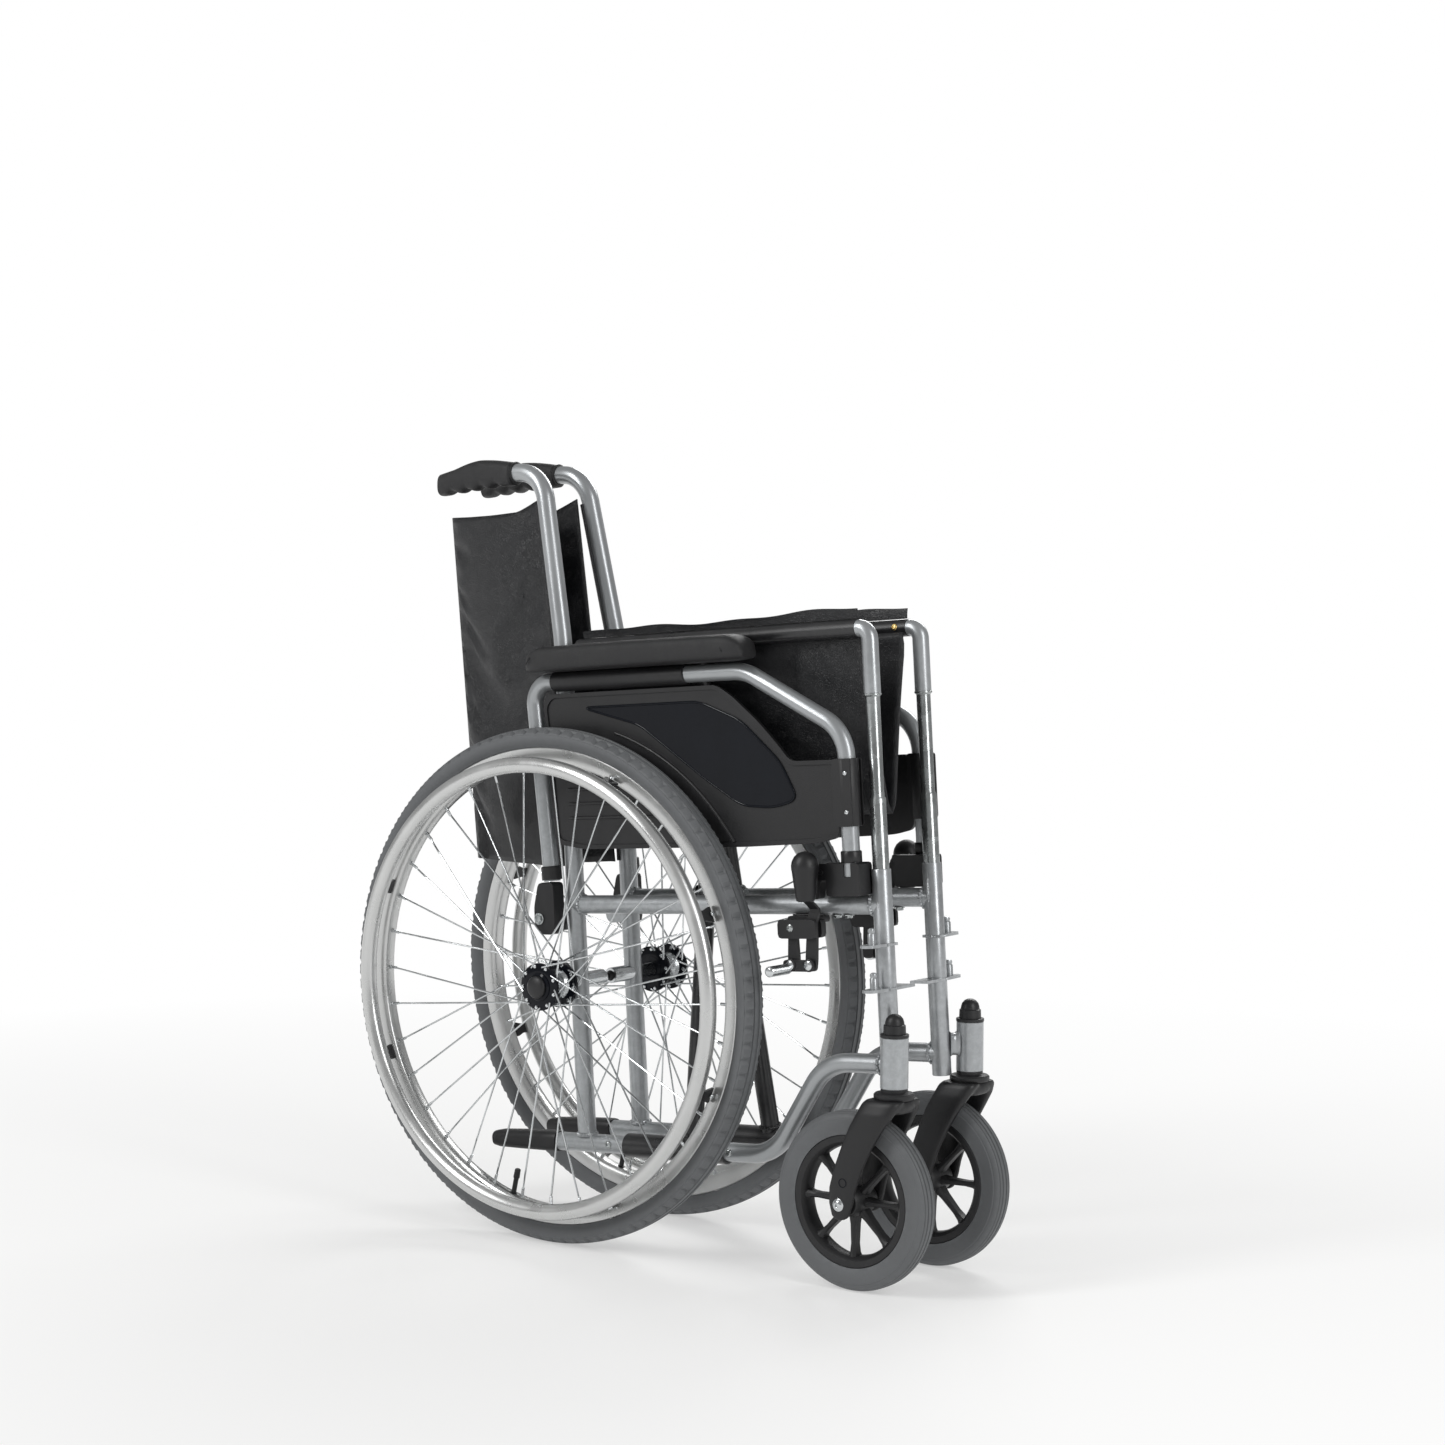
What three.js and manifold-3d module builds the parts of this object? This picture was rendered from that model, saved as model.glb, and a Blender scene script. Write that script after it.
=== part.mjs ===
// Folding self-propelled wheelchair, shown folded. Millimetres, +Z up, +X forwards, +Y to the chair's left.
// The frame rectangle is pitched back a little: rails rise towards the front and posts lean back.
// Rail coordinates (s, y, n) run along the rails, across the chair and square to both.
import * as THREE from 'three';
import { mergeVertices } from 'three/addons/utils/BufferGeometryUtils.js';
import Module from 'manifold-3d';

const wasm = await Module();
wasm.setup();

// ---- Driving dimensions -------------------------------------------------------------------------
const PITCH = THREE.MathUtils.degToRad(3.9);
const HALF_SPACING = 51;          // side frame plane to the middle of the chair, folded
const HANDLE_Y = 40;              // the canes lean inwards above the seat, up to the handles
const HANDLE_X = -69;             // where the canes turn back into the handles
const HANDLE_Z = 914;
const GRIP_SPAN = [-231, -113];
const GRIP_R = 15.5;
const ORIGIN_X = 108;             // shifts the chair so that its box is centred on the origin
const GAP = 0.3;                  // left between pieces that touch
const TUBE_R = 11;                // every frame tube
const SIDES = 12;                 // facets round a tube

const BACK_POST_S = 21.5;
const FRONT_POST_S = 464.5;
const LOWER_RAIL_N = 110;
const UPPER_RAIL_N = 395.5;
const SEAT_RAIL_N = 702;
const SEAT_RAIL_R = 10;
const SEAT_RAIL_SPAN = [48, 450];
const POST_TOP_N = 435.3;
const POST_BOTTOM_N = 194;

const AXLE_Z = 305;
const WHEEL_R = 305;
const WHEEL_Y = 102;              // middle of the rear tyre
const TYRE_HALF_WIDTH = 17;
const TYRE_DEPTH = 23;
const RIM_DEPTH = 19;
const SPOKES = 36;
const WHEEL_SEGMENTS = 32;
const HUB_FLANGE_R = 28;
const HUB_INNER_Y = 85.5;
const HUB_OUTER_Y = 128;
const HANDRIM_Y = 140;
const HANDRIM_R = 262.5;
const HANDRIM_TUBE_R = 9.5;
const HANDRIM_TABS = 8;

const CASTER_X = 421;
const CASTER_STEM_X = 470.6;
const CASTER_Y = 77;
const CASTER_R = 100;
const CASTER_SEGMENTS = 24;
const HEAD_BOTTOM_Z = 229;
const HEAD_TOP_Z = 286;

const ARM_Y = 74;
const ARM_R = 10;
const ARM_FRONT_S = 441.5;

const BRAKE_Y = 74;
const BRAKE_LEVER_PIVOT = [384, 371];
const BRAKE_LINK_PIVOT = [359, 371];
const BRAKE_ARM = [-3, -41];      // from each upper pivot down to the shoe bar
const KNOB_Y = 101.5;

const BRACE_R = 11;
const BRACE_RIGHT_S = 181;        // the brace whose foot is on the right rail
const BRACE_LEFT_S = 221;         // the brace whose foot is on the left rail
const SLEEVE_SPAN = [85, 233];

// ---- Helpers ------------------------------------------------------------------------------------
const vec = (x, y, z) => new THREE.Vector3(x, y, z);

// A point in rail coordinates, as chair coordinates.
function at(s, y, n) {
  return vec(s * Math.cos(PITCH) - n * Math.sin(PITCH), y, s * Math.sin(PITCH) + n * Math.cos(PITCH));
}

function solid(geometry) {
  const bare = geometry.clone();
  bare.deleteAttribute('normal');
  bare.deleteAttribute('uv');
  const merged = mergeVertices(bare, 1e-4);
  return new wasm.Manifold(new wasm.Mesh({
    numProp: 3,
    vertProperties: merged.attributes.position.array,
    triVerts: new Uint32Array(merged.index.array),
  }));
}

function geometryOf(manifold) {
  const mesh = manifold.getMesh();
  const geometry = new THREE.BufferGeometry();
  geometry.setAttribute('position', new THREE.BufferAttribute(mesh.vertProperties, 3));
  geometry.setIndex(new THREE.BufferAttribute(mesh.triVerts, 1));
  geometry.computeVertexNormals();
  return geometry;
}

function join(...geometries) {
  return geometryOf(geometries.map(solid).reduce((whole, piece) => whole.add(piece)));
}

function cut(geometry, ...tools) {
  return geometryOf(tools.map(solid).reduce((whole, tool) => whole.subtract(tool), solid(geometry)));
}

// The same piece for the chair's other side.
function mirrored(geometry) {
  const flipped = geometry.index ? geometry.clone() : mergeVertices(geometry);
  flipped.scale(1, -1, 1);
  const index = flipped.index.array;
  for (let i = 0; i < index.length; i += 3) {
    [index[i + 1], index[i + 2]] = [index[i + 2], index[i + 1]];
  }
  flipped.computeVertexNormals();
  return flipped;
}

// Rail coordinates to chair coordinates, for a whole geometry.
function pitched(geometry) {
  return geometry.rotateY(-PITCH);
}

// A round bar between two points.
function rod(from, to, radius, sides = SIDES, endRadius = radius) {
  const geometry = new THREE.CylinderGeometry(endRadius, radius, from.distanceTo(to), sides);
  const turn = new THREE.Quaternion().setFromUnitVectors(vec(0, 1, 0), to.clone().sub(from).normalize());
  const middle = from.clone().add(to).multiplyScalar(0.5);
  return geometry.applyQuaternion(turn).translate(middle.x, middle.y, middle.z);
}

// A path through corners, each rounded by an arc, that an extrusion follows point by point.
class BentPath extends THREE.Curve {
  constructor(corners, bend, arcSteps) {
    super();
    this.points = [corners[0]];
    this.tangents = [corners[1].clone().sub(corners[0]).normalize()];
    for (let i = 1; i < corners.length - 1; i += 1) {
      const into = corners[i].clone().sub(corners[i - 1]).normalize();
      const out = corners[i + 1].clone().sub(corners[i]).normalize();
      const angle = into.angleTo(out);
      const radius = Array.isArray(bend) ? bend[i - 1] : bend;
      const reach = radius * Math.tan(angle / 2);
      const start = corners[i].clone().addScaledVector(into, -reach);
      const side = out.clone().addScaledVector(into, -out.dot(into)).normalize();
      for (let step = 0; step <= arcSteps; step += 1) {
        const turned = angle * step / arcSteps;
        this.points.push(start.clone().addScaledVector(into, radius * Math.sin(turned))
          .addScaledVector(side, radius * (1 - Math.cos(turned))));
        this.tangents.push(into.clone().multiplyScalar(Math.cos(turned))
          .addScaledVector(side, Math.sin(turned)));
      }
    }
    this.points.push(corners.at(-1));
    this.tangents.push(corners.at(-1).clone().sub(corners.at(-2)).normalize());
    this.steps = this.points.length - 1;
  }

  getPointAt(u) {
    return this.points[Math.round(u * this.steps)].clone();
  }

  getTangentAt(u) {
    return this.tangents[Math.round(u * this.steps)].clone();
  }

  getSpacedPoints() {
    return this.points.map((point) => point.clone());
  }
}

function bentTube(corners, bend, radius = TUBE_R, arcSteps = 4, sides = SIDES) {
  const path = new BentPath(corners, bend, arcSteps);
  const outline = new THREE.Shape();
  for (let i = 0; i < sides; i += 1) {
    const angle = 2 * Math.PI * i / sides;
    outline[i ? 'lineTo' : 'moveTo'](radius * Math.cos(angle), radius * Math.sin(angle));
  }
  return new THREE.ExtrudeGeometry(outline, { steps: path.steps, extrudePath: path });
}

// A round ring or pipe about the Y axis: inner and outer radius, from y0 to y1.
function ringY(inner, outer, y0, y1, segments) {
  const profile = [[inner, y0], [outer, y0], [outer, y1], [inner, y1], [inner, y0]];
  return new THREE.LatheGeometry(profile.map(([r, y]) => new THREE.Vector2(r, y)), segments);
}

// A straight pipe between two points.
function pipe(from, to, inner, outer, sides = SIDES) {
  const length = from.distanceTo(to);
  const turn = new THREE.Quaternion().setFromUnitVectors(vec(0, 1, 0), to.clone().sub(from).normalize());
  return ringY(inner, outer, 0, length, sides).applyQuaternion(turn).translate(from.x, from.y, from.z);
}

// A flat plate: its outline lies in the s-n plane, from y0 out to y1. Corners are rounded.
function plate(outline, y0, y1, corner = 0, cornerSteps = 2) {
  const shape = new THREE.Shape(roundedOutline(outline, corner, cornerSteps));
  const geometry = new THREE.ExtrudeGeometry(shape, { depth: Math.abs(y1 - y0), bevelEnabled: false });
  return geometry.rotateX(Math.PI / 2).translate(0, Math.max(y0, y1), 0);
}

function roundedOutline(outline, corner, cornerSteps) {
  const points = outline.map(([x, y]) => new THREE.Vector2(x, y));
  if (!corner) return points;
  return points.flatMap((point, i) => {
    const before = points[(i + points.length - 1) % points.length];
    const after = points[(i + 1) % points.length];
    const reach = Math.min(corner, point.distanceTo(before) / 2.1, point.distanceTo(after) / 2.1);
    const start = point.clone().add(before.clone().sub(point).setLength(reach));
    const end = point.clone().add(after.clone().sub(point).setLength(reach));
    const arc = new THREE.QuadraticBezierCurve(start, point, end);
    return arc.getPoints(cornerSteps);
  });
}

const box = (s0, s1, y0, y1, n0, n1, corner = 0) =>
  plate([[s0, n0], [s1, n0], [s1, n1], [s0, n1]], y0, y1, corner);

// ---- Materials ----------------------------------------------------------------------------------
const finish = (color, roughness, metalness) => new THREE.MeshStandardMaterial({ color, roughness, metalness });
const silverPaint = () => finish(0xa9abad, 0.35, 0.7);
const blackPaint = () => finish(0x1c1c1e, 0.45, 0.2);
const zinc = () => finish(0x9fa3a3, 0.3, 0.9);
const aluminium = () => finish(0xd6d7d8, 0.3, 0.85);
const blackPlastic = () => finish(0x1a1a1b, 0.6, 0);
const softGrip = () => finish(0x202021, 0.8, 0);
const greyTyre = () => finish(0x6d6f70, 0.85, 0);
const vinyl = () => finish(0x151516, 0.55, 0);

// ---- Assembly -----------------------------------------------------------------------------------
const chair = new THREE.Group();
chair.position.x = -ORIGIN_X;

function add(name, geometry, material, position = vec(0, 0, 0)) {
  const mesh = new THREE.Mesh(geometry, material);
  mesh.name = name;
  mesh.position.copy(position);
  chair.add(mesh);
}

// Geometry is given for the right side, where y is negative; the left side is its mirror image.
function addPair(name, geometry, material, position = vec(0, 0, 0)) {
  add(`right_${name}`, geometry, material(), position);
  add(`left_${name}`, mirrored(geometry), material(), vec(position.x, -position.y, position.z));
}

const Y = -HALF_SPACING;

// ---- Side frame tubes ---------------------------------------------------------------------------
function sideFrame() {
  const bendN = 712;
  const caneTop = vec(HANDLE_X, -HANDLE_Y, HANDLE_Z);
  const handleEnd = vec(GRIP_SPAN[0] + 6, -HANDLE_Y, HANDLE_Z);
  const post = bentTube([at(BACK_POST_S, Y, LOWER_RAIL_N + TUBE_R + GAP), at(BACK_POST_S, Y, bendN),
    caneTop, handleEnd], [180, 42]);
  const receiver = ringY(6.4, 9.5, -(HUB_INNER_Y - 1), -6, SIDES).translate(0, 0, AXLE_Z);
  const receiverHole = rod(vec(0, -90, AXLE_Z), vec(0, 0, AXLE_Z), 7);
  const armPlate = pitched(plate([[-17, 369], [17, 365], [17, 397], [-17, 393]], Y - 8, Y - 4, 8));
  addPair('back_post', join(cut(post, receiverHole), receiver, armPlate), silverPaint);

  addPair('upper_rail', rod(at(BACK_POST_S + TUBE_R + GAP, Y, UPPER_RAIL_N),
    at(FRONT_POST_S - TUBE_R - GAP, Y, UPPER_RAIL_N), TUBE_R), silverPaint);

  const riseStart = 300;
  const riseEnd = 378;
  const railTopN = 219;
  addPair('lower_rail', bentTube([at(-20.5, Y, LOWER_RAIL_N), at(riseStart, Y, LOWER_RAIL_N),
    at(riseEnd, Y, railTopN), at(FRONT_POST_S - TUBE_R - GAP, Y, railTopN)], 62), silverPaint);

  addPair('tip_foot', pitched(plate([[-123, 101], [-70, 98], [-20.8, 98], [-20.8, 122], [-70, 122.5],
    [-123, 119]], Y - 13, Y + 13, 7)), blackPlastic);

  addPair('push_grip', join(
    rod(vec(GRIP_SPAN[0], -HANDLE_Y, HANDLE_Z), vec(GRIP_SPAN[0] + 5, -HANDLE_Y, HANDLE_Z), 12, SIDES, GRIP_R),
    pipe(vec(GRIP_SPAN[0] + 4.8, -HANDLE_Y, HANDLE_Z), vec(GRIP_SPAN[1], -HANDLE_Y, HANDLE_Z),
      TUBE_R + 0.6, GRIP_R)), softGrip);
}

// Hollow front post with its footrest pins, and the caster head welded outboard of it.
function frontPost() {
  const post = pipe(at(FRONT_POST_S, Y, POST_BOTTOM_N), at(FRONT_POST_S, Y, POST_TOP_N), 9.9, TUBE_R);
  const bore = rod(at(FRONT_POST_S, Y, POST_BOTTOM_N - 5), at(FRONT_POST_S, Y, POST_TOP_N + 5), 10.4);
  const pinY = Y - 25;
  const pins = [[352, 40, 6], [303, 40, 38]].flatMap(([n, outboard, inboard]) => [
    pitched(box(FRONT_POST_S - 13, FRONT_POST_S + 13, Y - outboard, Y + inboard, n - 1.5, n + 1.5)),
    rod(at(FRONT_POST_S, pinY, n), at(FRONT_POST_S, pinY, n + 20), 4, 6)]);
  const headInner = 9;
  const headOuter = 15.5;
  const head = pipe(vec(CASTER_STEM_X, -CASTER_Y, HEAD_BOTTOM_Z), vec(CASTER_STEM_X, -CASTER_Y, HEAD_TOP_Z),
    headInner, headOuter);
  const headBore = rod(vec(CASTER_STEM_X, -CASTER_Y, HEAD_BOTTOM_Z - 5),
    vec(CASTER_STEM_X, -CASTER_Y, HEAD_TOP_Z + 5), headInner + 1);
  const bracketZ = 260;
  const postAtBracket = at(FRONT_POST_S, Y, bracketZ - 32);
  const bracket = rod(vec(postAtBracket.x, Y, bracketZ), vec(CASTER_STEM_X, -CASTER_Y, bracketZ), 11, 8);
  const arms = cut(join(bracket, ...pins), bore, headBore);
  addPair('front_post', join(post, head, arms), silverPaint);
}

// ---- Rear wheels --------------------------------------------------------------------------------
function rearWheel() {
  const centre = vec(0, -WHEEL_Y, AXLE_Z);
  const loop = (points) => new THREE.LatheGeometry(points.map(([r, y]) => new THREE.Vector2(r, y)),
    WHEEL_SEGMENTS);
  const tyreInner = WHEEL_R - TYRE_DEPTH;
  addPair('tyre', loop([[tyreInner, -12], [tyreInner + 8, -TYRE_HALF_WIDTH], [WHEEL_R - 6, -15],
    [WHEEL_R, -7], [WHEEL_R, 7], [WHEEL_R - 6, 15], [tyreInner + 8, TYRE_HALF_WIDTH], [tyreInner, 12],
    [tyreInner, -12]]), greyTyre, centre);

  const rimOuter = tyreInner - GAP;
  const rimInner = rimOuter - RIM_DEPTH;
  addPair('rim', loop([[rimInner, -7], [rimOuter - 5, -12], [rimOuter, -12], [rimOuter, 12],
    [rimOuter - 5, 12], [rimInner, 7], [rimInner, -7]]), aluminium, centre);

  // Handrim, held off the rim by short tabs.
  const offset = -(HANDRIM_Y - WHEEL_Y);
  const ring = new THREE.TorusGeometry(HANDRIM_R, HANDRIM_TUBE_R, 6, WHEEL_SEGMENTS)
    .rotateX(Math.PI / 2).translate(0, offset, 0);
  const tabs = Array.from({ length: HANDRIM_TABS }, (_, i) => {
    const tab = new THREE.BoxGeometry(14, Math.abs(offset) - 12.3, 4);
    tab.translate(0, (offset - 12.3) / 2, HANDRIM_R + 4.5);
    return tab.rotateY(2 * Math.PI * (i + 0.5) / HANDRIM_TABS);
  });
  addPair('handrim', join(ring, ...tabs), aluminium, centre);

  // Hub with two flanges, and crossed spokes laced from them to the rim.
  const innerFlange = WHEEL_Y - HUB_INNER_Y - 3;
  const outerFlange = WHEEL_Y - HUB_OUTER_Y + 5;
  const bore = 6.4;
  const hubProfile = [[bore, WHEEL_Y - HUB_INNER_Y], [16, WHEEL_Y - HUB_INNER_Y], [HUB_FLANGE_R, innerFlange + 2],
    [HUB_FLANGE_R, innerFlange - 2], [14, innerFlange - 6], [14, outerFlange + 6],
    [HUB_FLANGE_R, outerFlange + 2], [HUB_FLANGE_R, outerFlange - 2], [16, WHEEL_Y - HUB_OUTER_Y],
    [bore, WHEEL_Y - HUB_OUTER_Y], [bore, WHEEL_Y - HUB_INNER_Y]].reverse();
  const hub = new THREE.LatheGeometry(hubProfile.map(([r, y]) => new THREE.Vector2(r, y)), 18);
  const spokes = Array.from({ length: SPOKES }, (_, i) => {
    const flange = i % 2 ? innerFlange : outerFlange;
    const lean = (Math.floor(i / 2) % 2 ? 1 : -1) * 2 * Math.PI * 3 / SPOKES * 1.9;
    const rimAngle = 2 * Math.PI * i / SPOKES;
    const root = HUB_FLANGE_R - 3;
    const tip = rimInner - 1.8;
    const face = i % 4 < 2 ? 1.9 : -1.9;
    return rod(vec(root * Math.cos(rimAngle + lean), flange + face, root * Math.sin(rimAngle + lean)),
      vec(tip * Math.cos(rimAngle), 0, tip * Math.sin(rimAngle)), 1.1, 3);
  });
  addPair('hub', join(hub, ...spokes), zinc, centre);

  addPair('axle', join(rod(vec(0, -46, AXLE_Z), vec(0, -(HUB_OUTER_Y + 4), AXLE_Z), 6),
    rod(vec(0, -(HUB_OUTER_Y + GAP), AXLE_Z), vec(0, -(HUB_OUTER_Y + 6), AXLE_Z), 13.5, 16, 9)), blackPlastic);
}

// ---- Casters ------------------------------------------------------------------------------------
function caster() {
  const centre = vec(CASTER_X, -CASTER_Y, CASTER_R);
  const loop = (points) => new THREE.LatheGeometry(points.map(([r, y]) => new THREE.Vector2(r, y)),
    CASTER_SEGMENTS);
  const tyreInner = 74;
  addPair('caster_tyre', loop([[tyreInner, -13], [CASTER_R - 12, -15], [CASTER_R - 3, -11], [CASTER_R, -5],
    [CASTER_R, 5], [CASTER_R - 3, 11], [CASTER_R - 12, 15], [tyreInner, 13], [tyreInner, -13]]),
  greyTyre, centre);

  const hub = ringY(5.3, 17, -20, 20, 16);
  const felloe = ringY(62, tyreInner - GAP, -13, 13, CASTER_SEGMENTS);
  const spokes = Array.from({ length: 8 }, (_, i) =>
    new THREE.BoxGeometry(50, 14, 7).translate(39.5, 0, 0).rotateY(2 * Math.PI * i / 8));
  addPair('caster_wheel', join(hub, felloe, ...spokes), blackPlastic, centre);

  // Fork: stem, crown with a collar, two swept legs and the axle between them.
  const stem = rod(vec(CASTER_STEM_X, 0, 215), vec(CASTER_STEM_X, 0, HEAD_TOP_Z + 12), 8.5);
  const collar = rod(vec(CASTER_STEM_X, 0, 214), vec(CASTER_STEM_X, 0, HEAD_BOTTOM_Z - 1), 19, 16);
  const crown = plate([[CASTER_STEM_X - 34, 205], [CASTER_STEM_X + 20, 207], [CASTER_STEM_X + 22, 218],
    [CASTER_STEM_X - 22, 218]], 26, -26, 5);
  const legs = [25, -35].map((y0) => plate([[CASTER_X - 14, 84], [CASTER_X + 14, 84], [CASTER_X + 24, 120],
    [CASTER_STEM_X + 20, 180], [CASTER_STEM_X + 22, 218], [CASTER_STEM_X - 24, 218],
    [CASTER_X - 8, 170], [CASTER_X - 18, 115]], y0, y0 + 10, 9));
  const axle = rod(vec(CASTER_X, -40, CASTER_R), vec(CASTER_X, 40, CASTER_R), 5);
  const cap = rod(vec(CASTER_STEM_X, 0, HEAD_TOP_Z + 1), vec(CASTER_STEM_X, 0, HEAD_TOP_Z + 25), 13, SIDES, 7);
  addPair('caster_fork', join(stem, collar, crown, ...legs, axle, cap).translate(0, -CASTER_Y, 0), blackPlastic);
}

// ---- Folding cross ------------------------------------------------------------------------------
function foldingCross() {
  const middle = (LOWER_RAIL_N + SEAT_RAIL_N) / 2;
  const rise = SEAT_RAIL_N - LOWER_RAIL_N;
  const length = Math.hypot(rise, 2 * HALF_SPACING);
  const endGap = (SEAT_RAIL_R + 6) / length;
  const sleeve = () => pipe(at(SLEEVE_SPAN[0], Y, LOWER_RAIL_N), at(SLEEVE_SPAN[1], Y, LOWER_RAIL_N),
    TUBE_R + 0.6, TUBE_R + 3.5);
  const railSpace = () => rod(at(0, Y, LOWER_RAIL_N), at(300, Y, LOWER_RAIL_N), TUBE_R + 1);

  // A brace with its foot on the right rail at this place along it.
  const brace = (s) => {
    const foot = at(s, Y, LOWER_RAIL_N);
    const top = at(s, -Y, SEAT_RAIL_N);
    const arm = rod(foot, foot.clone().lerp(top, 1 - endGap), BRACE_R);
    const pivotHole = rod(at(s - 20, 0, middle), at(s + 20, 0, middle), 5.4);
    return join(sleeve(), cut(arm, railSpace(), pivotHole));
  };
  add('right_brace', brace(BRACE_RIGHT_S), blackPaint());
  add('left_brace', mirrored(brace(BRACE_LEFT_S)), blackPaint());

  // Seat rail with the saddle that the brace is welded to.
  const seatRail = (braceS) => {
    const rail = rod(at(SEAT_RAIL_SPAN[0], Y, SEAT_RAIL_N), at(SEAT_RAIL_SPAN[1], Y, SEAT_RAIL_N), SEAT_RAIL_R);
    const along = vec(0, -2 * Y, 0).add(at(0, 0, -rise)).normalize();
    const centre = at(braceS, Y, SEAT_RAIL_N);
    const saddle = rod(centre, centre.clone().addScaledVector(along, SEAT_RAIL_R + 6 - GAP), BRACE_R - 1);
    return join(rail, saddle);
  };
  add('right_seat_rail', seatRail(BRACE_LEFT_S), blackPaint());
  add('left_seat_rail', mirrored(seatRail(BRACE_RIGHT_S)), blackPaint());

  const bolt = join(rod(at(BRACE_RIGHT_S - 18, 0, middle), at(BRACE_LEFT_S + 18, 0, middle), 5),
    rod(at(BRACE_RIGHT_S - 18, 0, middle), at(BRACE_RIGHT_S - BRACE_R - GAP, 0, middle), 9),
    rod(at(BRACE_RIGHT_S + BRACE_R + GAP, 0, middle), at(BRACE_LEFT_S - BRACE_R - GAP, 0, middle), 9),
    rod(at(BRACE_LEFT_S + BRACE_R + GAP, 0, middle), at(BRACE_LEFT_S + 18, 0, middle), 9));
  add('cross_bolt', bolt, zinc());

  // Guide tube: elbow at the seat rail's front end, then down into the hollow front post.
  const crimpN = 629;
  const shoulderN = 514;
  const guideBottomN = 397;
  const elbow = bentTube([at(SEAT_RAIL_SPAN[1] + GAP, Y, SEAT_RAIL_N), at(FRONT_POST_S, Y, SEAT_RAIL_N),
    at(FRONT_POST_S, Y, crimpN)], 13.2, 9.3, 4);
  addPair('guide_tube', join(elbow,
    rod(at(FRONT_POST_S, Y, crimpN + 1), at(FRONT_POST_S, Y, shoulderN - 1), 7.8),
    rod(at(FRONT_POST_S, Y, shoulderN), at(FRONT_POST_S, Y, guideBottomN), 9.3)), zinc);
}

// ---- Armrests -----------------------------------------------------------------------------------
function armrest() {
  const y = -ARM_Y;
  const pivot = [-8.4, 381];
  const topN = 662;
  addPair('arm_tube', bentTube([at(6, y, 425.3), at(-9, y, topN + 1), at(308, y, topN), at(ARM_FRONT_S, y, 589),
    at(ARM_FRONT_S, y, 429)], [26, 60, 49], ARM_R, 4, 10), silverPaint);

  addPair('arm_pad', pitched(plate([[5, 678], [18, topN + ARM_R + 1], [313, topN + ARM_R + 1], [325, 680],
    [325, 692], [313, 701], [120, 705], [35, 703], [3, 694]], y + 9, y - 37, 8)), softGrip);

  const panel = pitched(plate([[18, 470], [60, 463], [300, 463], [400, 466], [430, 472], [430, 559], [367, 559],
    [350, 578], [325, 604], [290, 634], [268, 648], [17, 648], [8, 638], [11, 600]], y - 3, y + 2));
  const clip = pitched(box(ARM_FRONT_S - 13.5, ARM_FRONT_S + 13.5, y - 13, y + 11, 484, 559, 4));
  const legHole = rod(at(ARM_FRONT_S, y, 470), at(ARM_FRONT_S, y, 570), ARM_R + 0.5);
  addPair('side_panel', cut(join(panel, clip), legHole), blackPlastic);

  const socket = pitched(plate([[-9, 424], [-17, 395], [-17, 372], [-8, 362], [12, 362], [15, 376], [15, 424]],
    y + 9.5, y - 10, 5));
  const bolt = rod(at(pivot[0], y + 9, pivot[1]), at(pivot[0], Y - 8.4, pivot[1]), 5, 8);
  addPair('arm_socket', join(socket, bolt), blackPlastic);

  // Catch that holds the arm's front leg: a block open to the rear, closed there by the latch lever.
  const catchTopN = 443.5;
  const latchPivot = [406, 434];
  const block = box(412, 453.2, y + 22, y + 11, UPPER_RAIL_N + TUBE_R + 0.8, catchTopN, 4);
  const outerBlock = box(412, 457, y + 11.5, y - 10, UPPER_RAIL_N + TUBE_R + 0.8, catchTopN, 4);
  const cheeks = [[9, 6], [-8, -10]].map(([from, to]) =>
    box(401, 416, y + from, y + to, latchPivot[1] - 9, catchTopN, 3));
  const seat = rod(vec(ARM_FRONT_S, y, 428.6), vec(ARM_FRONT_S, y, catchTopN + 3), ARM_R + 1.2);
  const seatSlot = box(411, ARM_FRONT_S, y - 7.8, y + 5.8, 428.6, catchTopN + 3);
  const pinHole = rod(vec(latchPivot[0], y + 12, latchPivot[1]), vec(latchPivot[0], y - 12, latchPivot[1]), 3.4, 8);
  addPair('arm_catch', pitched(cut(join(block, outerBlock, ...cheeks), seat, seatSlot, pinHole)), blackPlastic);

  addPair('arm_latch', pitched(join(
    plate([[397, 440], [429.6, 440], [429.6, 430], [410.6, 430], [403, 424], [400, 404], [392, 404], [391, 424]],
      y + 5, y - 7, 3),
    rod(vec(latchPivot[0], y + 9, latchPivot[1]), vec(latchPivot[0], y - 10, latchPivot[1]), 3, 8))), blackPlastic);
}

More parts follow.
